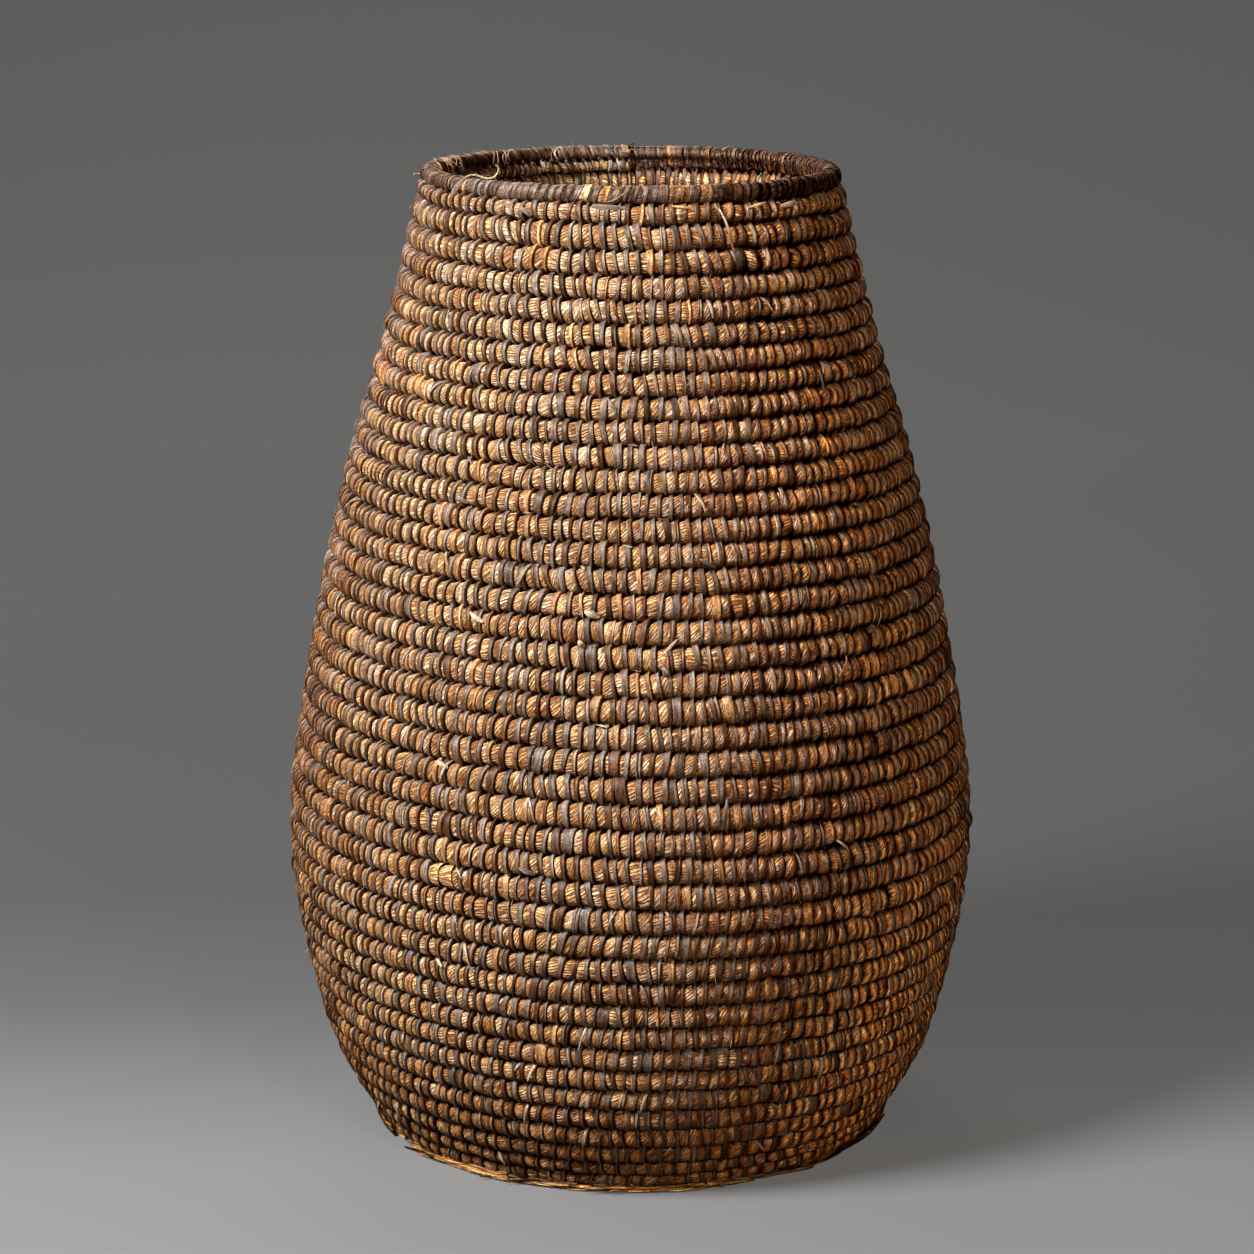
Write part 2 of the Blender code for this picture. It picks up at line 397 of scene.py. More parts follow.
def patch_faces(count, rows, columns):
    """Corner indices of the quads of so many equal patches, outward with columns to the right."""
    grid = np.arange(rows * columns).reshape(rows, columns)
    quads = np.stack([grid[:-1, :-1], grid[:-1, 1:], grid[1:, 1:], grid[1:, :-1]], axis=-1).reshape(-1, 4)
    return (quads[None] + each(np.arange(count) * rows * columns)).reshape(-1, 4)


def patch_atlas(count, rows, columns, wide, high):
    """A cell of its own for each patch in one square map."""
    across = max(1, int(math.ceil(math.sqrt(count * high / wide))))
    down = int(math.ceil(count / across))
    cell = np.arange(count)
    side_margin, end_margin = CELL_MARGINS
    u = np.linspace(side_margin, 1 - side_margin, columns) / across
    v = np.linspace(end_margin, 1 - end_margin, rows) / down
    uv = np.zeros((count, rows, columns, 2))
    uv[..., 0] = each((cell % across) / across) + u[None, None, :]
    uv[..., 1] = each((cell // across) / down) + v[None, :, None]
    return uv


def mesh_piece(name, points, faces, colours, strands, atlas, slot):
    """A mesh that rides the basket, in the material of its slot, with stitch colours and both maps."""
    mesh = bpy.data.meshes.new(name)
    points = np.array(points.reshape(-1, 3), dtype=np.float32)
    ease = FLOOR_EASE - FLOOR_CLEAR
    low = points[:, 2] < FLOOR_EASE
    points[low, 2] = FLOOR_CLEAR + ease * np.exp((points[low, 2] - FLOOR_EASE) / ease)
    corners = np.ascontiguousarray(faces.reshape(-1), dtype=np.int32)
    mesh.vertices.add(len(points))
    mesh.vertices.foreach_set("co", points.ravel())
    mesh.loops.add(len(corners))
    mesh.loops.foreach_set("vertex_index", corners)
    mesh.polygons.add(len(faces))
    mesh.polygons.foreach_set("loop_start", np.arange(0, len(corners), 4, dtype=np.int32))
    mesh.update(calc_edges=True)
    mesh.shade_smooth()
    # Stitch colours with their painted light and shade; in alpha, stripe contrast of straw and sheen of
    # splints
    colour = mesh.attributes.new("colour_and_painted_light", "FLOAT_COLOR", "POINT")
    rgba = np.ones((len(points), 4), dtype=np.float32)
    rgba[:, :colours.shape[-1]] = colours.reshape(-1, colours.shape[-1])
    colour.data.foreach_set("color", rgba.ravel())
    for layer_name, uv in (("strand", strands), ("OFBake", atlas)):
        layer = mesh.uv_layers.new(name=layer_name)
        flat = uv.reshape(-1, 2)[corners].astype(np.float32)
        layer.uv.foreach_set("vector", np.ascontiguousarray(flat).ravel())
    mesh.materials.append(MATERIALS[slot])
    piece = bpy.data.objects.new(name, mesh)
    bpy.context.scene.collection.objects.link(piece)
    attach(piece, "root")
    return piece


def node(tree, kind, inputs=None, **settings):
    """A new node, whose inputs are given as values or as the sockets that feed them."""
    made = tree.nodes.new(kind)
    for key, value in settings.items():
        setattr(made, key, value)
    for key, value in (inputs or {}).items():
        if isinstance(value, bpy.types.NodeSocket):
            tree.links.new(value, made.inputs[key])
        else:
            made.inputs[key].default_value = value
    return made


def product(tree, *factors):
    """All the factors multiplied together."""
    result = factors[0]
    for factor in factors[1:]:
        result = node(tree, "ShaderNodeMath", {0: result, 1: factor}, operation="MULTIPLY").outputs[0]
    return result


def spread(tree, value, source, target):
    """Value taken from one range to another, and held within it."""
    inputs = {"Value": value, "From Min": source[0], "From Max": source[1],
              "To Min": target[0], "To Max": target[1]}
    return node(tree, "ShaderNodeMapRange", inputs).outputs[0]


def scaled(tree, strand, scale):
    """The strand map times a scale across and along it."""
    return node(tree, "ShaderNodeMapping", {"Vector": strand, "Scale": (*scale, 1.0)}).outputs[0]


def noise(tree, strand, scale, detail, roughness=0.5):
    """Noise over the strand map, stretched by a scale across and along it."""
    inputs = {"Vector": scaled(tree, strand, scale), "Scale": 1.0, "Detail": detail, "Roughness": roughness}
    return node(tree, "ShaderNodeTexNoise", inputs, noise_dimensions="2D").outputs["Fac"]


def shaded(tree, colour, amount):
    """Colour times an amount, in which darker turns redder."""
    channels = {}
    for i, power in enumerate(SHADE_POWERS):
        channels[i] = node(tree, "ShaderNodeMath", {0: amount, 1: power}, operation="POWER").outputs[0]
    shade = node(tree, "ShaderNodeCombineXYZ", channels).outputs[0]
    return node(tree, "ShaderNodeVectorMath", {0: colour, 1: shade}, operation="MULTIPLY").outputs[0]


def speckle(tree, strand):
    """Fine even grain, as a factor about 1."""
    return spread(tree, noise(tree, strand, GRAIN_SCALE, 2.0), source=(0.28, 0.72), target=(0.46, 1.50))


def strand_material(name):
    """A material over the stitch colours and the strand map, with its tree and what they give."""
    material = bpy.data.materials.new(name)
    material.use_nodes = True
    tree = material.node_tree
    colour_and_painted_light = node(tree, "ShaderNodeAttribute", attribute_name="colour_and_painted_light").outputs
    strand = node(tree, "ShaderNodeUVMap", uv_map="strand").outputs[0]
    return material, tree, colour_and_painted_light, strand


def wire_shader(tree, colour_and_painted_light, colour, roughness, height, bump, tone_range, level):
    """Feed the shader: colour, roughness, bump, and a shine that dies out in the dark gaps."""
    shader = tree.nodes["Principled BSDF"]
    strength, distance = bump
    inputs = {"Height": height, "Strength": strength, "Distance": distance}
    grey = node(tree, "ShaderNodeRGBToBW", {0: colour_and_painted_light["Color"]}).outputs[0]
    for name, socket in (
            ("Base Color", colour),
            ("Roughness", roughness),
            ("Normal", node(tree, "ShaderNodeBump", inputs).outputs[0]),
            ("Specular IOR Level", spread(tree, grey, tone_range, (0.0, level)))):
        tree.links.new(socket, shader.inputs[name])


def straw_material(name):
    """Bundle of straw stems seen between the stitches."""
    material, tree, colour_and_painted_light, strand = strand_material(name)
    stems = {"Vector": scaled(tree, strand, STEM_SCALE), "Scale": 1.0}
    cells = node(tree, "ShaderNodeTexVoronoi", stems, feature="F1", voronoi_dimensions="2D")
    edges = node(tree, "ShaderNodeTexVoronoi", stems, feature="DISTANCE_TO_EDGE", voronoi_dimensions="2D")
    fine = noise(tree, strand, STEM_FIBRE_SCALE, 3.0)
    # Dark lines between the stems, painted as the shade where they part; they also shape the bump
    gaps = spread(tree, edges.outputs["Distance"], source=(0.03, 0.30), target=(0.14, 1.20))
    fibre = spread(tree, fine, source=(0.3, 0.7), target=(0.66, 1.34))
    stem_pick = node(tree, "ShaderNodeSeparateColor", {0: cells.outputs["Color"]}).outputs[0]
    stem_tone = spread(tree, stem_pick, source=(0.0, 1.0), target=(0.64, 1.36))
    striped = {"Factor": colour_and_painted_light["Alpha"], "A": 0.86, "B": gaps}
    stripes = node(tree, "ShaderNodeMix", striped, data_type="FLOAT").outputs[0]
    tone = product(tree, stripes, fibre, stem_tone, speckle(tree, strand))
    height = node(tree, "ShaderNodeMath", {0: gaps, 1: fine}, operation="ADD").outputs[0]
    wire_shader(tree, colour_and_painted_light, colour=shaded(tree, colour_and_painted_light["Color"], tone),
                roughness=spread(tree, fine, source=(0.0, 1.0), target=(0.28, 0.50)),
                height=height, bump=(1.0, 0.0005), tone_range=(0.0192, 0.16), level=0.60)
    return material


def splint_material(name):
    """Flat sewing splint: worn bark strip with fine fibres and painted pale sheen streaks along it."""
    material, tree, colour_and_painted_light, strand = strand_material(name)
    fibres = noise(tree, strand, BARK_SCALE, 4.0, roughness=0.62)
    blotches = noise(tree, strand, BLOTCH_SCALE, 2.0)
    streaks = noise(tree, strand, SHEEN_STREAK_SCALE, 1.0)
    bark = spread(tree, fibres, source=(0.30, 0.70), target=(0.40, 1.70))
    worn = spread(tree, blotches, source=(0.35, 0.68), target=(0.78, 1.28))
    tone = product(tree, bark, worn, speckle(tree, strand))
    # Painted sheen: pale streaks, as strong as the alpha of the stitch colours
    pale = spread(tree, streaks, source=(0.57, 0.70), target=(0.0, 0.50))
    layers = {"Factor": product(tree, pale, colour_and_painted_light["Alpha"]),
              "A": shaded(tree, colour_and_painted_light["Color"], tone), "B": (*SHEEN_STREAK, 1.0)}
    painted_sheen = node(tree, "ShaderNodeMix", layers, data_type="RGBA").outputs["Result"]
    wire_shader(tree, colour_and_painted_light, colour=painted_sheen,
                roughness=spread(tree, fibres, source=(0.0, 1.0), target=(0.32, 0.60)),
                height=fibres, bump=(0.9, 0.0004), tone_range=(0.006, 0.050), level=0.42)
    return material


MATERIALS = {
    "straw_bundle": straw_material("straw_bundle"),
    "dark_splint": splint_material("dark_splint"),
    "bare_straw": straw_material("bare_straw"),
}


class Stitches:
    """One row of stitches along a stretch of coil, with everything that varies from one to the next.

    Distance runs with the coil, so seen from outside it grows to the left: each stitch is a pad of
    bare straw at the left and its splint at the right. Lengths are in metres.
    """

    def __init__(self, coil, first, last, pitch, rng, width_shares=((0.0, 1.0),)):
        self.coil = coil
        self.rng = rng
        self.run = Measured(coil, first, last)
        self.count = count = int(self.run.length / pitch) + 1

        def vary(middle, quick, low=-math.inf, high=math.inf):
            """Values about a middle that change from each stitch to the next, within limits."""
            return np.clip(middle + quick * rng.standard_normal(count), low, high)

        def slowly(size, window):
            """Values that change over a window of stitches."""
            return size * drift(rng, count, window)

        widths = vary(1.0 + slowly(0.08, 9), 0.13, 0.66, 1.5)
        turns = self.run.at(np.linspace(0.0, self.run.length, count))
        edges = np.concatenate(([0.0], np.cumsum(widths * table(width_shares, turns - first))))
        edges *= self.run.length / edges[-1]
        self.start, self.end = edges[:-1], edges[1:]
        self.width = self.end - self.start
        self.turns = self.run.at((self.start + self.end) / 2)
        self.height = self.coil.section(self.turns)[1]
        self.lean = vary(slowly(0.0006, 7) - 0.0001, 0.00045)
        self.hook = 0.0011 + 0.0012 * rng.random(count)
        self.curl = vary(0.0006, 0.0006)
        self.bow = vary(0.0, 0.0004)
        self.nudge = vary(0.0, 0.00026)
        self.swell = PAD_SWELL * vary(1.0, 0.30, 0.25, 1.7)
        self.kind = rng.random(count)
        self.share = np.clip(SPLINT_SHARE * (vary(1.0, 0.16) + slowly(0.06, 15)), 0.26, 0.75)
        self.share *= 1.0 - 0.28 * smooth_step(0.075, 0.03, self.height)
        self.rise = SPLINT_RISE * vary(1.0, 0.25, 0.5, 1.7)
        self.tilt = vary(0.00042, 0.00020)
        self.tone = vary(0.0, 1.0)
        self.slow = slowly(1.0, 25)
        self.hue = rng.random(count)
        upper = smooth_step(0.36, 0.45, self.height)
        self.twist = np.radians(vary(34 - 26 * upper + slowly(14, 9), 12))
        self.offset = rng.random((count, 2)) * 7.0
        self.bare = np.zeros(count, bool)
        self.contrast = vary(0.72 + slowly(0.16, 13), 0.22, 0.25, 1.0)
        self.contrast *= 1.0 - 0.50 * smooth_step(0.35, 0.90, -np.sin(TAU * self.turns))


class Chosen:
    """Some stitches of a row, with their values shaped to meet the rows and columns of their patches."""

    def __init__(self, stitches, who):
        self.stitches = stitches
        self.rng = stitches.rng
        self.who = who
        self.shape = (len(who), 1, 1)
        self.right = np.sin(TAU * self.turns)
        self.right_share = smooth_step(*RIGHT_SIDE, self.right)
        self.left_share = smooth_step(*LEFT_SIDE, self.right)
        self.up = np.clip(self.height / HEIGHT, 0, 1)

    def __getattr__(self, name):
        """Any of the row's own values, for the chosen stitches."""
        return each(getattr(self.stitches, name)[self.who])

    def shift(self, around):
        """How far a splint stands to the right of its place, by the angle round the section."""
        ends = self.hook * angle_step(35, 105, around) + self.curl * angle_step(35, 105, -around)
        return self.lean * np.sin(around) + ends + self.bow * np.cos(around)

    def points(self, distance, around, lift, side, nudge_gain=1.0):
        """World points so far along the run, with the angle taken from the side that the patch faces."""
        turns = self.stitches.run.at(distance)
        around = around if side > 0 else math.pi - around
        return coil_points(self.stitches.coil, turns, around, lift, self.nudge * nudge_gain)


def groove_shade(around, above_strength=0.96, below_strength=0.95):
    """Painted shade on a surface towards the grooves above and below it."""
    above, below = angle_step(*GROOVE_ABOVE, around), angle_step(*GROOVE_BELOW, -around)
    return 1.0 - above_strength * above - below_strength * below


def splint_groove_shade(around):
    """Painted shade on a splint towards the grooves, slight above, where it lies clear of the groove."""
    return groove_shade(around * 0.86, above_strength=0.30, below_strength=0.88)


def rim_joint_shade(around):
    """Painted shade on the rim towards the one joint below it."""
    return 1.0 - 0.85 * angle_step(50, 14, np.abs(around + math.pi / 2))


def shade_and_spot_colour(colour, shade_and_spots):
    """Colour under painted shade and light and random spots, redder as it darkens and paler as it lightens.
    """
    dark, light = np.minimum(shade_and_spots, 1.0)[..., None], np.maximum(shade_and_spots, 1.0)[..., None]
    return colour * dark ** np.array(SHADE_AND_SPOT_POWERS) * light ** np.array(LIGHT_POWERS)


def shade_side_tint(right, tint):
    """Painted shade: the right side, away from the key light, is browner and more orange than the left."""
    # A little of the same painted shade at the far left edge
    share = smooth_step(-0.15, 0.85, right) + 0.55 * smooth_step(-0.80, -1.0, right)
    return mix((1.0, 1.0, 1.0), tint, np.clip(share, 0.0, 1.0))


def side_shade(chosen, around, side, rim):
    """Painted shade at the left inside, and beside the grooves at the right outside; painted light far right.
    """
    if side < 0:
        return 1.0 - 0.65 * chosen.left_share
    if rim:
        return 1.0
    beside = 0.98 * angle_step(*BESIDE_BELOW, -around) + 0.94 * angle_step(*BESIDE_ABOVE, around)
    far_right = smooth_step(*FAR_RIGHT, chosen.right) * (1.0 - 0.30 * smooth_step(0.72, 1.0, chosen.right))
    return (1.0 - chosen.right_share * beside) * (1.0 + 1.08 * far_right)


def painted_shade_and_spots(base, shade_and_spots, chosen):
    """Colours with painted shade and random spots, the darks deeper at the right and paler at the top left.
    """
    aslant, right = chosen.right_share, chosen.right
    # Random spots, stronger and seldom bright on the right side, as part of its painted shade
    spots = np.clip(chosen.rng.standard_normal(shade_and_spots.shape), -2.2, 1.6 - 1.2 * aslant)
    shade_and_spots = shade_and_spots * np.exp((0.20 + 0.42 * aslant) * spots)
    # Painted light pales the darks at the sunny top left; painted shade deepens them at the right
    paler = (0.08 + 0.16 * smooth_step(0.45, 0.85, chosen.up)) * smooth_step(*SUNNY_SIDE, right)
    power = 0.38 * aslant + 0.42 * smooth_step(*DEEP_RIGHT, right) - paler
    return shade_and_spot_colour(base, shade_and_spots * np.minimum(shade_and_spots, 1.0) ** power)


def stitch_mesh(name, points, side, colours, alpha, strands, cell_width, slot):
    """One mesh of equal stitch patches, turned round where they face the inside."""
    shape = points.shape[:3]
    colours = np.concatenate([colours, np.broadcast_to(alpha, shape)[..., None]], axis=-1)
    faces = patch_faces(*shape)
    if side < 0:
        faces = faces[:, ::-1]
    atlas = patch_atlas(*shape, cell_width, COIL_DEPTH * 2)
    return mesh_piece(name, points, faces, colours, strands, atlas, slot)


def pad_colours(chosen):
    """Tan and gold straw to brown, browner low; painted light at the top left, painted shade at the right."""
    rng, right, up = chosen.rng, chosen.right, chosen.up
    light = mix(TAN, GOLD, chosen.hue)
    deep = mix(ORANGE, BROWN, rng.random(chosen.shape))
    darkness = 0.46 - 0.34 * up + 0.35 * smooth_step(0.16, 0.04, up) + 0.16 * chosen.tone + 0.13 * chosen.slow
    colour = mix(light, deep, np.clip(darkness, 0.0, 1.0))
    # Pale cream pads: a few anywhere, and many at the top left as painted highlights
    pale_chance = 0.03 + 0.05 * up + 0.42 * smooth_step(*PAINTED_HIGHLIGHT_SIDE, right) * smooth_step(0.35, 1.0, up)
    pale = rng.random(chosen.shape) < pale_chance
    colour = np.where(pale[..., None], mix(colour, CREAM, 0.55), colour)
    # Painted light low at the right, on top of the painted shade tint of the right side
    lower_right_light = smooth_step(0.42, 0.14, up) * smooth_step(*LOWER_RIGHT, right)
    colour = colour * shade_side_tint(right, SUNLESS_TINT)
    colour = colour * (1.0 + lower_right_light[..., None] * np.array(LOWER_RIGHT_PAINTED_LIGHT))
    return np.where(chosen.bare[..., None], np.array(RAW_STRAW), colour)


def pad_lift(chosen, around, s):
    """Height of the pads: a swell that creases beside the next splint and sinks into the grooves."""
    crest = smooth_step(0.0, 0.38, s) * (1.0 - 0.20 * smooth_step(0.65, 1.0, s))
    swell = chosen.swell * crest * (0.45 + 0.55 * np.cos(around))
    crease = CREASE * (1.0 - smooth_step(0.02, 0.28, s))
    sunk = PAD_SINK * (1 - s) ** 1.3 * angle_step(28, 82, around)
    bare_sunk = BARE_SINK * (1 - s) ** 1.2 * angle_step(15, 80, np.abs(around))
    return swell - np.where(chosen.bare, bare_sunk, crease + sunk)


def pad_edge_shade(chosen, s):
    """Painted shade on the pads beside the splints at both their ends, wider on the right side."""
    aslant = chosen.right_share
    outline = smooth_step(0.06 + 0.22 * aslant, 1.0 - 0.20 * aslant, s / (0.28 + 0.40 * aslant))
    outline = (0.03 + 0.97 * outline) * (1.0 - 0.40 * smooth_step(0.66, 1.0, s))
    return np.where(chosen.bare, 1.0, outline)


def pad_strands(chosen, around, s):
    """Straw map: across and along the stems, which lie aslant, and fan out where they are bare."""
    run = (1 - s) * chosen.width
    reach = around * (COIL_DEPTH / 2) / np.where(chosen.bare, 0.45 + 0.55 * s, 1.0)
    across = reach * np.cos(chosen.twist) + run * np.sin(chosen.twist)
    along = run * np.cos(chosen.twist) - reach * np.sin(chosen.twist)
    return np.stack([across, along], axis=-1) + chosen.offset


def build_pads(name, stitches, who, angles, side=1, tone=1.0, rim=False):
    """Straw between the splints: one swelling patch for each stitch."""
    chosen = Chosen(stitches, who)
    left_neighbour = Chosen(stitches, np.minimum(who + 1, stitches.count - 1))
    around, s = patch_grid(len(who), angles, PAD_COLUMNS)
    left = chosen.end + PAD_UNDERLAP
    right = chosen.start + np.where(chosen.bare, -BARE_OVERLAP, chosen.width * chosen.share * 0.45)
    shift = left_neighbour.shift(around) * (1 - s) + chosen.shift(around) * s
    distance = left * (1 - s) + right * s - shift
    base = rim_colours(chosen) if rim else pad_colours(chosen)
    # Painted shade towards the grooves and beside the splints, with the painted light and shade of the sides
    shade_and_spots = rim_joint_shade(around) if rim else groove_shade(around)
    shade_and_spots = shade_and_spots * pad_edge_shade(chosen, s) * tone * side_shade(chosen, around, side, rim)
    colours = painted_shade_and_spots(base, shade_and_spots, chosen)
    points = chosen.points(distance, around, pad_lift(chosen, around, s), side)
    return stitch_mesh(name, points, side, colours, chosen.contrast, pad_strands(chosen, around, s),
                       STITCH_PITCH * 0.7, "straw_bundle")


def splint_list(stitches, who):
    """Strips of the stitches: owner, place of the middle, half width, rise and sway."""
    who = who[~stitches.bare[who]]
    kind = stitches.kind[who]
    start, width, share = stitches.start[who], stitches.width[who], stitches.share[who]
    plain, double = kind >= THIN_BELOW, kind < DOUBLE_BELOW
    wide = (kind >= DOUBLE_BELOW) & (kind < WIDE_BELOW)
    thin = (kind >= WIDE_BELOW) & (kind < THIN_BELOW)
    narrow = np.clip(share * 0.62, 0.22, 0.4)
    rows = []
    # Whose strips, their share of the stitch, middle in half widths, gains of width and rise, and sway
    for picked, width_share, middle, width_gain, rise_gain, sway in (
            (plain, share, 1.0, 1.0, 1.0, 0.0),
            (double, narrow, 1.0, 1.0, 1.0, 0.0),
            (double, narrow, 2.75, 0.95, 0.8, 0.5),
            (wide, np.full_like(share, 0.88), 1.0, 1.0, 1.0, 0.0),
            (thin, np.full_like(share, 0.26), 1.0, 1.0, 1.0, 0.0)):
        half = (width * width_share / 2)[picked]
        rows.append((who[picked], start[picked] + middle * half, half * width_gain,
                     stitches.rise[who][picked] * rise_gain, np.full(len(half), sway)))
    owner, *values = (np.concatenate(parts) for parts in zip(*rows))
    return owner, *(each(value) for value in values)


def recoloured(rng, colours, chance, first, second):
    """Colours of which a share, chosen at random, is drawn anew between two others."""
    shape = colours.shape[:-1]
    picked = rng.random(shape) < chance
    return np.where(picked[..., None], mix(first, second, rng.random(shape)), colours)


def splint_colours(chosen):
    """Umber and grey strips with a few of straw, darker towards the foot."""
    rng, shape = chosen.rng, chosen.shape
    pick = rng.random(shape)[..., None]
    grey = mix(GREY_BROWN, COOL_GREY, rng.random(shape) ** 1.3)
    brown = mix(UMBER, RED_BROWN, rng.random(shape))
    straw = mix(mix(ORANGE, GOLD, rng.random(shape)), GREY_BROWN, 0.45)
    colour = np.where(pick > 0.94, straw, np.where(pick < 0.34, brown, grey))
    low = smooth_step(0.16, 0.05, chosen.up) * rng.random(shape) ** 0.5
    colour = mix(colour, mix(UMBER, RED_BROWN, rng.random(shape) * 0.8), low)
    bright = np.clip(0.88 + 0.20 * rng.standard_normal(shape), 0.45, 1.5) * (0.80 + 0.26 * chosen.up)
    return colour * bright[..., None]


def rim_colours(chosen):
    """Plum to umber wraps, greyer at the front, with a few pale ones."""
    rng, shape = chosen.rng, chosen.shape
    place = chosen.turns - RIM_START
    colour = mix(PLUM_BROWN, UMBER, rng.random(shape))
    colour = recoloured(rng, colour, 0.30, GREY_BROWN, COOL_GREY)
    colour = recoloured(rng, colour, 0.07, GREY_BROWN, RIM_OCHRE)
    middle, reach = RIM_FRONT
    front = np.abs(place - middle) < reach
    colour = np.where(front[..., None], mix(PLUM_BROWN, GREY_BROWN, rng.random(shape)) * 1.15, colour)
    for first, last, patch in RIM_PATCHES:
        away = np.abs(place - (first + last) / 2)
        near = away <= max((last - first) / 2, away.min())
        colour = np.where(near[..., None], np.array(patch), colour)
    middle, reach = RIM_DARK
    shade = 1.0 - 0.30 * smooth_step(reach, 0.0, np.abs(place - middle))
    return colour * (shade * np.clip(1.0 + 0.22 * rng.standard_normal(shape), 0.5, 1.6))[..., None]


def rim_split(chosen, around):
    """Where the rim's wraps part on the inside, over its first fifth."""
    start = smooth_step(0.20, 0.02, chosen.turns - RIM_START)
    return start * np.exp(-((np.abs(around) - math.radians(176)) / math.radians(13)) ** 2)


def splint_lift(chosen, rise, around, w, free):
    """Height of the splints over the coil: crowned and tilted, and off the groove where they are free."""
    edge = np.abs(w)
    crown = 1.0 - 0.14 * edge ** 2 - 0.16 * (edge > 0.9)
    lift = rise * crown * (1.0 + 0.45 * free * angle_step(40, 90, around))
    spring = SPLINT_SPRING * free * (0.5 + 0.5 * w) * angle_step(60, 96, around)
    lift = lift + spring + chosen.tilt * w
    return np.where(edge > 0.97, np.where(w > 0, -SPLINT_EDGE_SINK, SPLINT_EDGE_LIFT), lift)


def splint_painted_shading(chosen, w):
    """Painted highlight and shade across the splints, deeper on the right side of the basket."""
    lit, unlit = smooth_step(-0.40, -0.95, w), smooth_step(-0.10, 0.65, w)
    gain = 1.0 + chosen.right_share * (1.3 * lit - 0.92 * unlit)
    return np.interp(w, SPLINT_COLUMNS, SPLINT_COLUMN_SHADING) * gain


def build_splints(name, stitches, who, angles, columns_at, side=1, rim=False):
    """Sewing splints: one crowned strip over each stitch, and a second over a double one."""
    owner, middle, half, rise, sway = splint_list(stitches, who)
    chosen = Chosen(stitches, owner)
    rng, count = chosen.rng, len(owner)
    around, w = patch_grid(count, angles, columns_at)
    free = 0.0 if rim else 1.0
    pinch = 0.12 * angle_step(0, 60, around) - 0.60 * angle_step(72, 104, around)
    half = half * (1.0 + free * (pinch - 0.42 * angle_step(35, 85, -around)))
    shift = chosen.shift(around) + sway * SWAY * np.sin(around * 1.7 + each(owner))
    lift = splint_lift(chosen, rise, around, w, free)
    # Painted highlight and shade across the splint and towards the grooves, and of the sides
    shade_and_spots = splint_painted_shading(chosen, w) * (rim_joint_shade(around) if rim else splint_groove_shade(around))
    shade_and_spots = shade_and_spots * side_shade(chosen, around, side, rim)
    if rim:
        split = rim_split(chosen, around)
        lift = lift - RIM_SPLIT_DEPTH * split
        inner = angle_step(88, 125, np.abs(around))
        # Painted shade in the split, and on the rim's inner face at the left, away from the key light
        shade_and_spots = shade_and_spots * (1.0 - 0.93 * split) * (1.0 - 0.82 * inner * chosen.left_share)
    base = rim_colours(chosen) if rim else splint_colours(chosen)
    colours = painted_shade_and_spots(base * shade_side_tint(chosen.right, SUNLESS_SPLINT_TINT), shade_and_spots, chosen)
    # Painted sheen streaks, fainter in shade, at the right and on the rim, and fading out low on the section
    painted_sheen = each(np.clip(rng.normal(0.5, 0.5, count), 0.0, 1.3)) * np.clip(shade_and_spots, 0.0, 1.0) ** 2
    painted_sheen = painted_sheen * (0.4 if rim else 1.0) * (1.0 - 0.45 * chosen.right_share)
    painted_sheen = painted_sheen * angle_step(-60, 10, around)
    strands = np.stack([w * half, around * (COIL_DEPTH / 2)], axis=-1) + each(rng.random((count, 2)) * 9.0)
    points = chosen.points(middle - w * half - shift, around, lift, side, nudge_gain=1.5)
    return stitch_mesh(name, points, side, colours, painted_sheen, strands, STITCH_PITCH * 0.55, "dark_splint")


# The patch of bare bright straw on the left of the belly: its pixel and how far it runs either way
RAW_PATCH_PIXEL = (441, 876)
RAW_PATCH_REACH = 0.0052

# Slant in radians, contrast and swell of the straw in that patch
RAW_PATCH_LOOK = {"twist": 0.16, "contrast": 0.8, "swell": 0.0015}

# How much brighter the straw of the inside is in its topmost rounds
MOUTH_TONE = 1.5


def lay_bare(stitches, pixel, reach):
    """Take the splints off the stitches near a pixel of the photograph and give their straw its own look."""
    turns = PHOTO_MAP.find(*pixel)[0]
    away = stitches.run.distance(turns) - (stitches.start + stitches.end) / 2
    stitches.bare = np.abs(away) < reach
    for name, value in RAW_PATCH_LOOK.items():
        getattr(stitches, name)[stitches.bare] = value


def build_wall():
    """Both faces of the wall, in groups of rounds, with brighter straw inside the mouth."""
    rng = np.random.default_rng(SEED)
    stitches = Stitches(WallCoil(COIL_DEPTH), 1.0, RIM_START, STITCH_PITCH, rng, WALL_WIDTH_SHARES)
    number = np.floor(stitches.turns).astype(int)
    lay_bare(stitches, RAW_PATCH_PIXEL, RAW_PATCH_REACH)
    for i, (first, last) in enumerate(zip(GROUP_STARTS, GROUP_STARTS[1:]), start=1):
        who = np.nonzero((number >= first) & (number < last))[0]
        pads = build_pads(f"wall_straw_{i}", stitches, who, PAD_ANGLES)
        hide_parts(*[f"wall_round_{n:02d}" for n in range(first, last)])
        build_splints(f"wall_splints_{i}", stitches, who, SPLINT_ANGLES, SPLINT_COLUMNS)
        tone = MOUTH_TONE if last == RIM_START else 1.0
        build_pads(f"inside_straw_{i}", stitches, who, INNER_ANGLES, side=-1, tone=tone)
        build_splints(f"inside_splints_{i}", stitches, who, INNER_ANGLES, INNER_COLUMNS, side=-1)
    return stitches


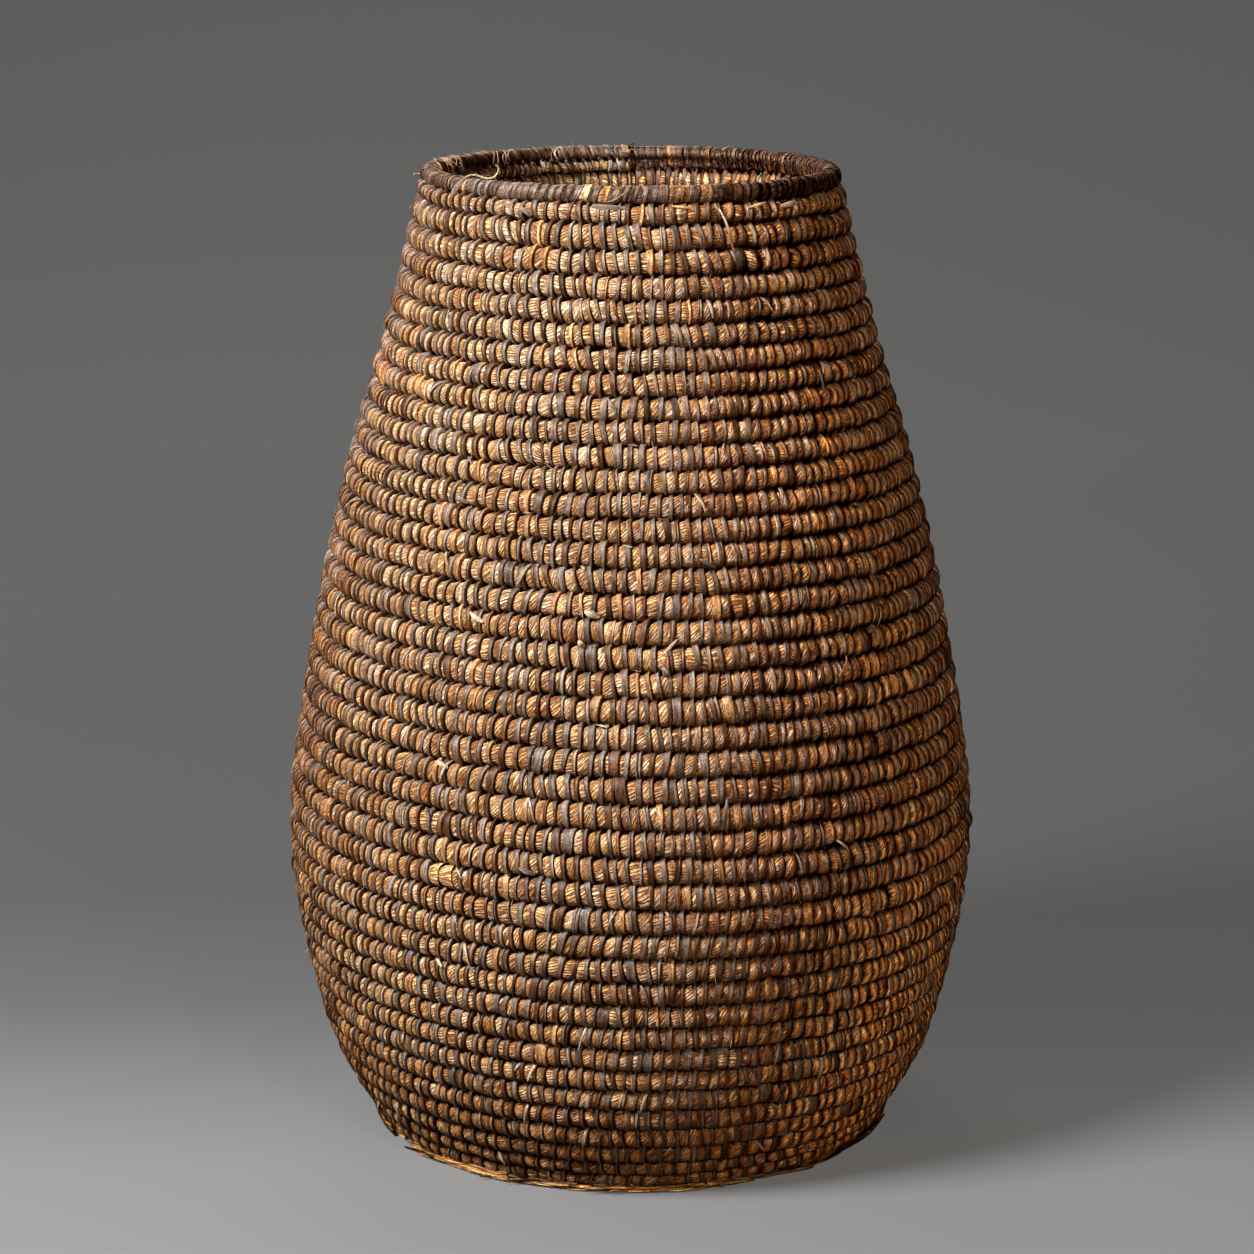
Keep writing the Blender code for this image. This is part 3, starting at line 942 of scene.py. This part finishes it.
def build_rim():
    """The last round, in close thin wraps that overlap and lean one way."""
    rng = np.random.default_rng(SEED + 1)
    stitches = Stitches(WallCoil(RIM_DEPTH), RIM_START, RIM_END, RIM_PITCH, rng, RIM_WIDTH_SHARES)
    count = stitches.count
    stitches.kind = np.full(count, 0.5)
    stitches.share = np.clip(1.18 + 0.20 * rng.standard_normal(count), 0.80, 1.6)
    stitches.rise = 0.00055 + 0.00008 * rng.standard_normal(count)
    stitches.tilt = 0.00022 + 0.00006 * rng.standard_normal(count)
    stitches.hook *= 0
    stitches.lean = stitches.lean * 0.7 + 0.0011
    stitches.nudge *= 0.5
    stitches.contrast *= 0.4
    who = np.arange(count)
    pads = build_pads("rim_straw", stitches, who, RIM_ANGLES, rim=True)
    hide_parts("rim_round")
    build_splints("rim_wrap", stitches, who, RIM_ANGLES, SPLINT_COLUMNS, rim=True)


def build_base():
    """The flat spiral of the base, sewn under and over."""
    rng = np.random.default_rng(SEED + 2)
    stitches = Stitches(BaseCoil(), 1.0, BASE_ROUNDS + 1, STITCH_PITCH, rng)
    who = np.arange(stitches.count)
    pads = build_pads("base_straw", stitches, who, INNER_ANGLES)
    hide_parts("base_knot", *[f"base_round_{n:02d}" for n in range(1, BASE_ROUNDS + 1)])
    build_splints("base_splints", stitches, who, INNER_ANGLES, INNER_COLUMNS)
    build_pads("floor_straw", stitches, who, INNER_ANGLES, side=-1)
    build_splints("floor_splints", stitches, who, INNER_ANGLES, INNER_COLUMNS, side=-1)


def build_core_shade():
    """Middle of the coil, which closes the grooves behind the stitches, painted near black as their shade."""
    rows, columns, mean_radius = 90, 145, 0.15
    lengths = np.linspace(0.0, WALL_LENGTH, rows)[:, None]
    angles = np.linspace(0, TAU, columns)[None, :]
    radius, height, _, _ = wall_frame(lengths, COIL_DEPTH / 2)
    grid = np.stack(np.broadcast_arrays(-radius * np.sin(angles), radius * np.cos(angles), height), axis=-1)
    strands = np.stack(np.broadcast_arrays(lengths, angles * mean_radius), axis=-1)
    mesh_piece("wall_core_shade", grid, patch_faces(1, rows, columns), np.broadcast_to(CORE_SHADE, grid.shape),
               strands, patch_atlas(1, rows, columns, 1, 1), "straw_bundle")


def tubes(name, centres, normals, wide, thick, colours, slot, sides=6):
    """Flat tubes along rows of points: half width and half thickness, of all or at each point."""
    count, steps = centres.shape[:2]
    map_shift = 0.37
    wide, thick = (np.broadcast_to(half, (count, steps))[..., None, None] for half in (wide, thick))
    along = unit(np.gradient(centres, axis=1))
    across = unit(np.cross(along, normals))
    normals = np.cross(across, along)
    ring = np.linspace(0, TAU, sides + 1)
    points = centres[:, :, None, :]
    points = points + wide * np.cos(ring)[:, None] * across[:, :, None, :]
    points = points + thick * np.sin(ring)[:, None] * normals[:, :, None, :]
    lengths = np.linalg.norm(np.diff(centres, axis=1), axis=-1).sum(axis=1)
    strands = np.zeros(points.shape[:3] + (2,))
    strands[..., 0] = wide[..., 0].mean(axis=1)[:, None] * ring + each(np.arange(count)) * map_shift
    strands[..., 1] = each(lengths) * np.linspace(0, 1, steps)[None, :, None]
    colours = np.broadcast_to(colours[:, None, None, :], points.shape)
    faces = patch_faces(count, steps, sides + 1)[:, ::-1]
    return mesh_piece(name, points, faces, colours, strands, patch_atlas(count, steps, sides + 1, 1, 6), slot)


def coil_tubes(name, coil, turns, around, lift, wide, thick, colours, slot, sides=6):
    """Flat tubes that lie along a coil, their flat sides to it."""
    centres = coil_points(coil, turns, around, lift)
    normals = unit(coil_points(coil, turns, around, lift + 0.001) - centres)
    tubes(name, centres, normals, wide, thick, colours, slot, sides)


def shares(steps):
    """Share of the way along a strand, at so many steps."""
    return np.linspace(0, 1, steps)[None, :]


# Bare straws of the foot: how many, how far they run round it in radians, and their half thickness
FOOT_STRAWS = 230
FOOT_STRAW_SWEEP = (0.10, 0.55)
FOOT_STRAW_HALF = (0.00048, 0.00092)

# Lowest and highest line of their middles over the floor, and how far their ends stray at the front
FOOT_STRAW_HEIGHTS = (0.0008, 0.0046)
FOOT_STRAW_STRAY = 0.006

# Share of them that is dark, and how bright the dark and the bright ones are
DARK_FOOT_SHARE = 0.40
DARK_FOOT_TONE = (0.04, 0.30)
BRIGHT_FOOT_TONE = (0.7, 1.5)


def build_foot():
    """Straws laid bare along the foot, in short overlapping lengths with a few ends that stray."""
    rng = np.random.default_rng(SEED + 3)
    count, share = FOOT_STRAWS, shares(24)
    strand = (count, 1)
    start = rng.random(strand) * TAU
    sweep = rng.uniform(*FOOT_STRAW_SWEEP, strand)
    angle = start + sweep * share
    layer = rng.random(strand)
    # Metres out from the axis: the layer, a slant, ends that stray at the front, and ripples
    out = FOOT_RADIUS - 0.0010 + 0.0046 * layer + 0.0016 * rng.standard_normal(strand) * (share - 0.5)
    stray = (rng.random(strand) < 0.30) * rng.uniform(0.3, 1.0, strand)
    stray = stray * smooth_step(0.2, 0.8, -np.cos(start + sweep))
    out = out + stray * FOOT_STRAW_STRAY * share ** 4 + 0.0003 * np.sin(9 * share + TAU * rng.random(strand))
    # Metres up: outer layers lie lower
    height = 0.0036 - 0.0022 * layer + 0.0007 * rng.standard_normal(strand)
    height = height + 0.0022 * rng.standard_normal(strand) * (share - 0.5)
    height = np.clip(height, *FOOT_STRAW_HEIGHTS)
    centres = np.stack([out * np.sin(angle), out * np.cos(angle), height], axis=-1)
    normals = np.stack([np.sin(angle), np.cos(angle), np.full_like(angle, 0.4)], axis=-1)
    thick = rng.uniform(*FOOT_STRAW_HALF, strand) * (1.0 - 0.6 * share ** 6)
    dark_straw = rng.random(strand) < DARK_FOOT_SHARE
    tone = np.where(dark_straw, rng.uniform(*DARK_FOOT_TONE, strand), rng.uniform(*BRIGHT_FOOT_TONE, strand))
    # Painted shade: darker on the right side, which the key light doesn't reach
    tone = tone * (1.0 - 0.6 * smooth_step(0.35, 0.75, np.sin(start)))
    colours = mix(BARE_STRAW, ORANGE, rng.random(count) ** 1.5) * tone
    piece = tubes("foot_straws", centres, normals, thick * 1.2, thick, colours, "bare_straw")
    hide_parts("foot_round")


# Camera of the photograph: its place in metres, how far it looks down, lens and sensor in millimetres
CAMERA_PLACE = np.array([-0.0017, -1.734, 0.654])
CAMERA_DIP = math.radians(13.15)
CAMERA_LENS = 102.2
SENSOR = 36.0
PHOTO_SIDE = 1254
PHOTO_SCALE = PHOTO_SIDE * CAMERA_LENS / SENSOR


def photo_pixels(points):
    """Where points fall in the photograph, in its pixels."""
    away = points - CAMERA_PLACE
    depth = away[..., 1] * math.cos(CAMERA_DIP) - away[..., 2] * math.sin(CAMERA_DIP)
    up = away[..., 1] * math.sin(CAMERA_DIP) + away[..., 2] * math.cos(CAMERA_DIP)
    return PHOTO_SIDE / 2 + PHOTO_SCALE * away[..., 0] / depth, PHOTO_SIDE / 2 - PHOTO_SCALE * up / depth


def on_plane(x, y, plane):
    """Point seen at a pixel of the photograph, on the upright plane so far along Y."""
    right, up = (x - PHOTO_SIDE / 2) / PHOTO_SCALE, (PHOTO_SIDE / 2 - y) / PHOTO_SCALE
    dip_share, level_share = math.sin(CAMERA_DIP), math.cos(CAMERA_DIP)
    ray = np.array([right, level_share + up * dip_share, up * level_share - dip_share])
    return CAMERA_PLACE + ray * (plane - CAMERA_PLACE[1]) / ray[1]


class PhotoMap:
    """Finds the place on the front of the coil that shows at a pixel of the photograph."""

    steps_a_turn = 720
    angles = np.radians(np.arange(-70, 71, 10))

    def __init__(self):
        turns = np.arange(1.0, RIM_END, 1 / self.steps_a_turn)
        front = turns[np.cos(TAU * turns) < 0.1]
        self.turns, around = np.meshgrid(front, self.angles, indexing="ij")
        coil = WallCoil(COIL_DEPTH)
        self.points = coil_points(coil, self.turns, around, SPLINT_RISE)
        near, far = (coil_points(coil, self.turns, 0 * around, lift) for lift in (0.0, 0.01))
        self.outward = unit(far - near)
        self.x, self.y = photo_pixels(self.points)

    def find(self, x, y):
        i = np.unravel_index(np.argmin((self.x - x) ** 2 + (self.y - y) ** 2), self.x.shape)
        return self.turns[i], self.points[i], self.outward[i]


# Loose bits seen in the photograph: pixels of both ends, half width, how far it stands off, colour
LOOSE_BITS = (
    (592, 206, 626, 208, 0.00120, 0.0008, COOL_GREY),
    (522, 207, 530, 216, 0.00100, 0.0010, COOL_GREY),
    (719, 208, 734, 251, 0.00070, 0.0022, PALE_TAIL),
    (780, 207, 797, 202, 0.00130, 0.0016, PALE_TAIL),
    (671, 206, 690, 209, 0.00060, 0.0010, GOLD),
    (748, 207, 766, 203, 0.00070, 0.0008, GOLD),
    (584, 611, 600, 617, 0.00170, 0.0014, PALE_TAIL),
    (579, 640, 585, 647, 0.00130, 0.0012, PALE_TAIL),
    (664, 667, 670, 678, 0.00170, 0.0010, COOL_GREY),
    (662, 655, 676, 640, 0.00080, 0.0012, PALE_TAIL),
    (712, 778, 719, 768, 0.00140, 0.0010, COOL_GREY),
    (438, 760, 449, 769, 0.00150, 0.0014, PALE_TAIL),
    (874, 575, 886, 596, 0.00110, 0.0020, PALE_TAIL),
    (846, 655, 838, 676, 0.00060, 0.0020, PALE_TAIL),
    (606, 398, 616, 412, 0.00120, 0.0012, COOL_GREY),
    (818, 372, 822, 410, 0.00070, 0.0018, COOL_GREY),
    (700, 560, 716, 568, 0.00100, 0.0012, COOL_GREY),
    (457, 495, 468, 503, 0.00120, 0.0012, COOL_GREY),
    (728, 800, 722, 830, 0.00090, 0.0014, COOL_GREY),
    (521, 868, 536, 874, 0.00120, 0.0012, COOL_GREY),
    (836, 840, 848, 852, 0.00070, 0.0018, PALE_TAIL),
    (470, 612, 484, 622, 0.00120, 0.0012, PALE_TAIL),
)
LOOSE_BIT_HALF_THICKNESS = 0.00022


def build_loose_bits():
    """Splint tails and leaf ends that stand off the front, where the photograph shows them."""
    steps = 10
    share = np.linspace(0, 1, steps)
    centres, normals, wide, colours = [], [], [], []
    for x0, y0, x1, y1, half, stand, colour in LOOSE_BITS:
        _, first, out = PHOTO_MAP.find(x0, y0)
        _, last, _ = PHOTO_MAP.find(x1, y1)
        bow = 0.0004 + stand * np.sin(math.pi * np.minimum(share * 1.15, 1)) ** 0.8
        centres.append(mix(first, last, share) + out * bow[:, None])
        normals.append(np.broadcast_to(out, (steps, 3)))
        wide.append(half * (0.55 + 0.45 * np.sin(math.pi * share)) * np.where(share > 0.95, 0.3, 1.0))
        colours.append(colour)
    tubes("loose_bits", np.array(centres), np.array(normals), np.array(wide), LOOSE_BIT_HALF_THICKNESS,
          np.array(colours), "dark_splint")


# Thin strands: count, least and added lift, half width, half thickness if flat, colours, tone, slot, sides
STRAND_LOOKS = {
    "splint_tails": (240, SPLINT_RISE * 1.1, (0.0004, 0.0018), (0.00035, 0.00120), 0.00020,
                     (COOL_GREY, PALE_TAIL), (0.5, 1.1), "dark_splint", 6),
    "straw_hairs": (420, SPLINT_RISE, (0.0006, 0.0034), (0.00008, 0.00016), None,
                    (PALE_TAIL, GOLD), (0.7, 1.2), "bare_straw", 4),
    "rim_ends": (26, 0.0008, (0.0003, 0.0022), (0.00012, 0.0005), 0.00012,
                 (PALE_TAIL, COOL_GREY), (0.5, 1.1), "dark_splint", 6),
    "mouth_threads": (34, 0.0007, (0.0002, 0.0022), (0.0003, 0.0007), 0.0002,
                      (PALE_TAIL, ORANGE), (0.5, 1.0), "dark_splint", 6),
}


def thin_strands(name, coil, rng, turns, around, rising, narrowing):
    """Strands in the look of their name, by the courses of their rise and narrowing along them."""
    count, least, lifts, halves, thick, colours, tones, slot, sides = STRAND_LOOKS[name]
    lift = least + rng.uniform(*lifts, (count, 1)) * rising
    wide = rng.uniform(*halves, (count, 1)) * narrowing
    colours = mix(*colours, rng.random(count)) * rng.uniform(*tones, (count, 1))
    coil_tubes(name, coil, turns, around, lift, wide, wide if thick is None else thick, colours, slot, sides)


def strand_shape(name):
    """Shape that holds one value for each strand of that name."""
    return STRAND_LOOKS[name][0], 1


def build_tails(stitches):
    """Short ends of splints all over the wall, coming out of the grooves."""
    rng = np.random.default_rng(SEED + 4)
    strand, share = strand_shape("splint_tails"), shares(8)
    place = rng.uniform(0.01, 0.99, strand) * stitches.run.length
    reach = rng.choice([-1.0, 1.0], strand) * rng.uniform(0.0012, 0.0060, strand)
    first = np.radians(rng.uniform(50, 85, strand))
    last = first - np.radians(rng.uniform(-10, 110, strand))
    turns, around = stitches.run.at(place + reach * share), first + (last - first) * share
    narrowing = (0.6 + 0.4 * np.sin(math.pi * share)) * (1 - 0.5 * share ** 4)
    thin_strands("splint_tails", stitches.coil, rng, turns, around, share, narrowing)


def build_hairs(stitches):
    """Fine straw fibres that stand off the wall."""
    rng = np.random.default_rng(SEED + 5)
    strand, share = strand_shape("straw_hairs"), shares(8)
    place = rng.uniform(0.01, 0.99, strand) * stitches.run.length
    turns = stitches.run.at(place + rng.normal(0, 0.004, strand) * share)
    around = np.radians(rng.uniform(-20, 80, strand)) + np.radians(rng.normal(0, 50, strand)) * share
    thin_strands("straw_hairs", stitches.coil, rng, turns, around, share ** 1.3, 1 - 0.6 * share)


# Course of the splint end that curls over the mouth at the front left, in pixels of the photograph
CURL_PIXELS = ((452, 196), (455, 189), (460, 182), (467, 176), (474, 174), (482, 177), (490, 179), (496, 176),
               (499, 170), (498, 166), (495, 165))

# Its place along Y, how much nearer its first point is, half thickness, and its pieces by steps and colour
CURL_PLANE = -0.062
CURL_START_NEARER = 0.010
CURL_HALF_THICKNESS = 0.00022
CURL_PIECES = (("rim_strip", slice(0, 18), COOL_GREY), ("rim_curl", slice(16, None), PALE_TAIL))

# The stub of straw beside it: turns along the coil, angles and heights of its ends, half width and thickness
STUB_TURNS = RIM_START + 0.742
STUB_ANGLES = (-20, -14)
STUB_LIFTS = (0.0, 0.0042)
STUB_HALVES = (0.0007, 0.0006)


def build_rim_curl():
    """The splint end that curls into the mouth at the front left, dark at its root and pale at its tip."""
    steps, smoothing = 44, 7
    curl = np.array([on_plane(x, y, CURL_PLANE) for x, y in CURL_PIXELS])
    curl[0] = on_plane(*CURL_PIXELS[0], CURL_PLANE - CURL_START_NEARER)
    fine, knots = np.linspace(0, 1, steps), np.linspace(0, 1, len(curl))
    path = np.stack([np.interp(fine, knots, curl[:, i]) for i in range(3)], axis=-1)
    kernel = np.hanning(smoothing + 2)[1:-1]
    kernel /= kernel.sum()
    padded = np.pad(path, ((smoothing // 2, smoothing // 2), (0, 0)), mode="edge")
    path = np.stack([np.convolve(padded[:, i], kernel, "valid") for i in range(3)], axis=-1)
    normals = np.broadcast_to(np.array([0.1, -0.9, 0.4]), (1, steps, 3))
    half = 0.00042 + 0.0007 * np.exp(-((fine - 0.12) / 0.12) ** 2)
    # Both pieces a quarter brighter than their colours: painted light, as the curl lies in the mouth's shade
    for name, part, colour in CURL_PIECES:
        tubes(name, path[None, part], normals[:, part], half[None, part], CURL_HALF_THICKNESS,
              np.array([colour]) * 1.25, "dark_splint")


def build_rim_stub():
    """The stub of straw that stands off the rim beside the curl."""
    steps = 6
    turns = np.full(2, STUB_TURNS)
    root, tip = coil_points(WallCoil(RIM_DEPTH), turns, np.radians(STUB_ANGLES), np.array(STUB_LIFTS))
    centres = root + (tip - root) * np.linspace(0, 1, steps)[:, None]
    upward = np.broadcast_to(np.array([0.0, 0.0, 1.0]), (1, steps, 3))
    tubes("rim_stub", centres[None], upward, *STUB_HALVES, np.array([BARE_STRAW]), "bare_straw")


def build_rim_threads():
    """Thin ends round the rim, and threads that hang over the inside of the mouth at the front left."""
    rng = np.random.default_rng(SEED + 6)
    coil = WallCoil(RIM_DEPTH)
    strand, share = strand_shape("rim_ends"), shares(10)
    turns = RIM_START + rng.random(strand) + rng.normal(0, 0.012, strand) * share
    around = np.radians(rng.uniform(-60, 200, strand)) + np.radians(rng.normal(0, 60, strand)) * share
    thin_strands("rim_ends", coil, rng, turns, around, np.sin(math.pi * 0.7 * share), 1 - 0.5 * share)
    strand = strand_shape("mouth_threads")
    turns = RIM_START + rng.uniform(0.60, 0.99, strand)
    turns = turns - rng.uniform(0.002, 0.014, strand) * np.sin(2.4 * share)
    around = np.radians(95 + rng.uniform(60, 150, strand) * share)
    thin_strands("mouth_threads", coil, rng, turns, around, share ** 2, 1 - 0.4 * share)


# Floor and backdrop in metres: from before the basket back to the sweep, its radius, width and top
FLOOR_FRONT = -9.0
FLOOR_BACK = 1.6
SWEEP_RADIUS = 1.2
SWEEP_STEPS = 12
BACKDROP_TOP = 4.5
FLOOR_HALF_WIDTH = 9.0

# Tone of the floor by its distance back from the basket, in metres, as the camera sees it
FLOOR_TONES = ((-0.30, 0.155), (-0.10, 0.145), (0.0, 0.115), (0.15, 0.060), (0.35, 0.036),
               (0.80, 0.040), (1.20, 0.050), (1.80, 0.060), (2.60, 0.030))
FLOOR_TINT = (1.0, 1.01, 1.04)
TONE_RANGE = (-1.0, 3.0)
UNSEEN_FLOOR = (0.050, 0.038, 0.026, 1.0)
# Glow of the floor that only the camera sees: painted light that lifts the basket's shadow on it
FLOOR_GLOW = 0.085


def floor_material():
    """Pale floor that runs into a greyer backdrop; other rays than the camera's meet a darker one."""
    material = bpy.data.materials.new("studio_floor")
    material.use_nodes = True
    tree = material.node_tree
    place = node(tree, "ShaderNodeNewGeometry").outputs["Position"]
    back = node(tree, "ShaderNodeSeparateXYZ", {0: place}).outputs["Y"]
    tones = node(tree, "ShaderNodeValToRGB", {0: spread(tree, back, TONE_RANGE, (0.0, 1.0))})
    stops = tones.color_ramp.elements
    for place_y, tone in FLOOR_TONES:
        stop = stops.new((place_y - TONE_RANGE[0]) / (TONE_RANGE[1] - TONE_RANGE[0]))
        stop.color = (*(tone * tint for tint in FLOOR_TINT), 1.0)
    stops.remove(stops[0])
    stops.remove(stops[-1])
    seen = node(tree, "ShaderNodeLightPath").outputs["Is Camera Ray"]
    layers = {"Factor": seen, "A": UNSEEN_FLOOR, "B": tones.outputs[0]}
    blend = node(tree, "ShaderNodeMix", layers, data_type="RGBA")
    shader = tree.nodes["Principled BSDF"]
    shader.inputs["Roughness"].default_value = 0.9
    shader.inputs["Specular IOR Level"].default_value = 0.1
    shader.inputs["Emission Color"].default_value = (1.0, 1.0, 1.0, 1.0)
    tree.links.new(blend.outputs["Result"], shader.inputs["Base Color"])
    # Painted light: the floor glows for the camera alone
    tree.links.new(product(tree, seen, FLOOR_GLOW), shader.inputs["Emission Strength"])
    return material


def build_stage():
    """Floor that sweeps up into a backdrop."""
    rows = [(FLOOR_FRONT, 0.0), (FLOOR_BACK, 0.0)]
    for i in range(1, SWEEP_STEPS + 1):
        turn = math.pi / 2 * i / SWEEP_STEPS
        rows.append((FLOOR_BACK + SWEEP_RADIUS * math.sin(turn), SWEEP_RADIUS * (1 - math.cos(turn))))
    rows.append((FLOOR_BACK + SWEEP_RADIUS, BACKDROP_TOP))
    points = [(x, y, z) for y, z in rows for x in (-FLOOR_HALF_WIDTH, FLOOR_HALF_WIDTH)]
    faces = [(2 * i, 2 * i + 1, 2 * i + 3, 2 * i + 2) for i in range(len(rows) - 1)]
    mesh = bpy.data.meshes.new("floor")
    mesh.from_pydata(points, [], faces)
    mesh.shade_smooth()
    mesh.materials.append(floor_material())
    floor = bpy.data.objects.new("floor", mesh)
    bpy.context.scene.collection.objects.link(floor)


# Lamps: azimuth and elevation as degrees from the camera's side, distance, size, watts and colour
LAMPS = (
    ("key", -54, 42, 1.9, 0.62, 75.0, (1.0, 1.0, 0.98)),
    ("fill", 20, 27, 2.6, 0.5, 23.0, (1.0, 0.82, 0.62)),
    ("back", -168, 34, 2.5, 1.6, 17.0, (1.0, 0.93, 0.84)),
)
LAMP_PIVOT = 0.24
LAMP_TARGET = Vector((0.0, 0.0, 0.26))
WORLD_COLOUR = (1.0, 0.84, 0.66, 1.0)
WORLD_STRENGTH = 0.010
SEEN_WORLD = (0.105, 0.105, 0.107, 1.0)


def build_lights():
    """Soft round lamps, all turned to the middle of the basket."""
    for name, azimuth, elevation, distance, size, power, colour in LAMPS:
        light = bpy.data.lights.new(name, "AREA")
        light.shape = "DISK"
        light.size = size
        light.energy = power
        light.color = colour
        lamp = bpy.data.objects.new(name, light)
        aside, up = math.radians(azimuth), math.radians(elevation)
        away, height = distance * math.cos(up), LAMP_PIVOT + distance * math.sin(up)
        lamp.location = (away * math.sin(aside), -away * math.cos(aside), height)
        lamp.rotation_mode = "QUATERNION"
        lamp.rotation_quaternion = (LAMP_TARGET - lamp.location).to_track_quat("-Z", "Y")
        bpy.context.scene.collection.objects.link(lamp)


def build_world():
    """Dim warm light all round, behind which the camera sees a plain grey."""
    world = bpy.data.worlds.new("studio")
    world.use_nodes = True
    tree = world.node_tree
    dim = tree.nodes["Background"]
    dim.inputs["Color"].default_value = WORLD_COLOUR
    dim.inputs["Strength"].default_value = WORLD_STRENGTH
    seen = node(tree, "ShaderNodeBackground", {"Color": SEEN_WORLD})
    camera_ray = node(tree, "ShaderNodeLightPath").outputs["Is Camera Ray"]
    blend = node(tree, "ShaderNodeMixShader", {0: camera_ray, 1: dim.outputs[0], 2: seen.outputs[0]})
    tree.links.new(blend.outputs[0], tree.nodes["World Output"].inputs["Surface"])
    bpy.context.scene.world = world


def build_camera():
    camera = bpy.data.cameras.new("camera")
    camera.lens = CAMERA_LENS
    camera.sensor_width = SENSOR
    placed = bpy.data.objects.new("camera", camera)
    placed.location = CAMERA_PLACE
    placed.rotation_euler = (math.pi / 2 - CAMERA_DIP, 0.0, 0.0)
    bpy.context.scene.collection.objects.link(placed)
    bpy.context.scene.camera = placed


PHOTO_MAP = PhotoMap()
WALL_STITCHES = build_wall()
build_rim()
build_base()
build_core_shade()
build_foot()
build_loose_bits()
build_tails(WALL_STITCHES)
build_hairs(WALL_STITCHES)
build_rim_curl()
build_rim_stub()
build_rim_threads()
build_stage()
build_lights()
build_world()
build_camera()
bpy.context.scene.view_settings.view_transform = "Standard"
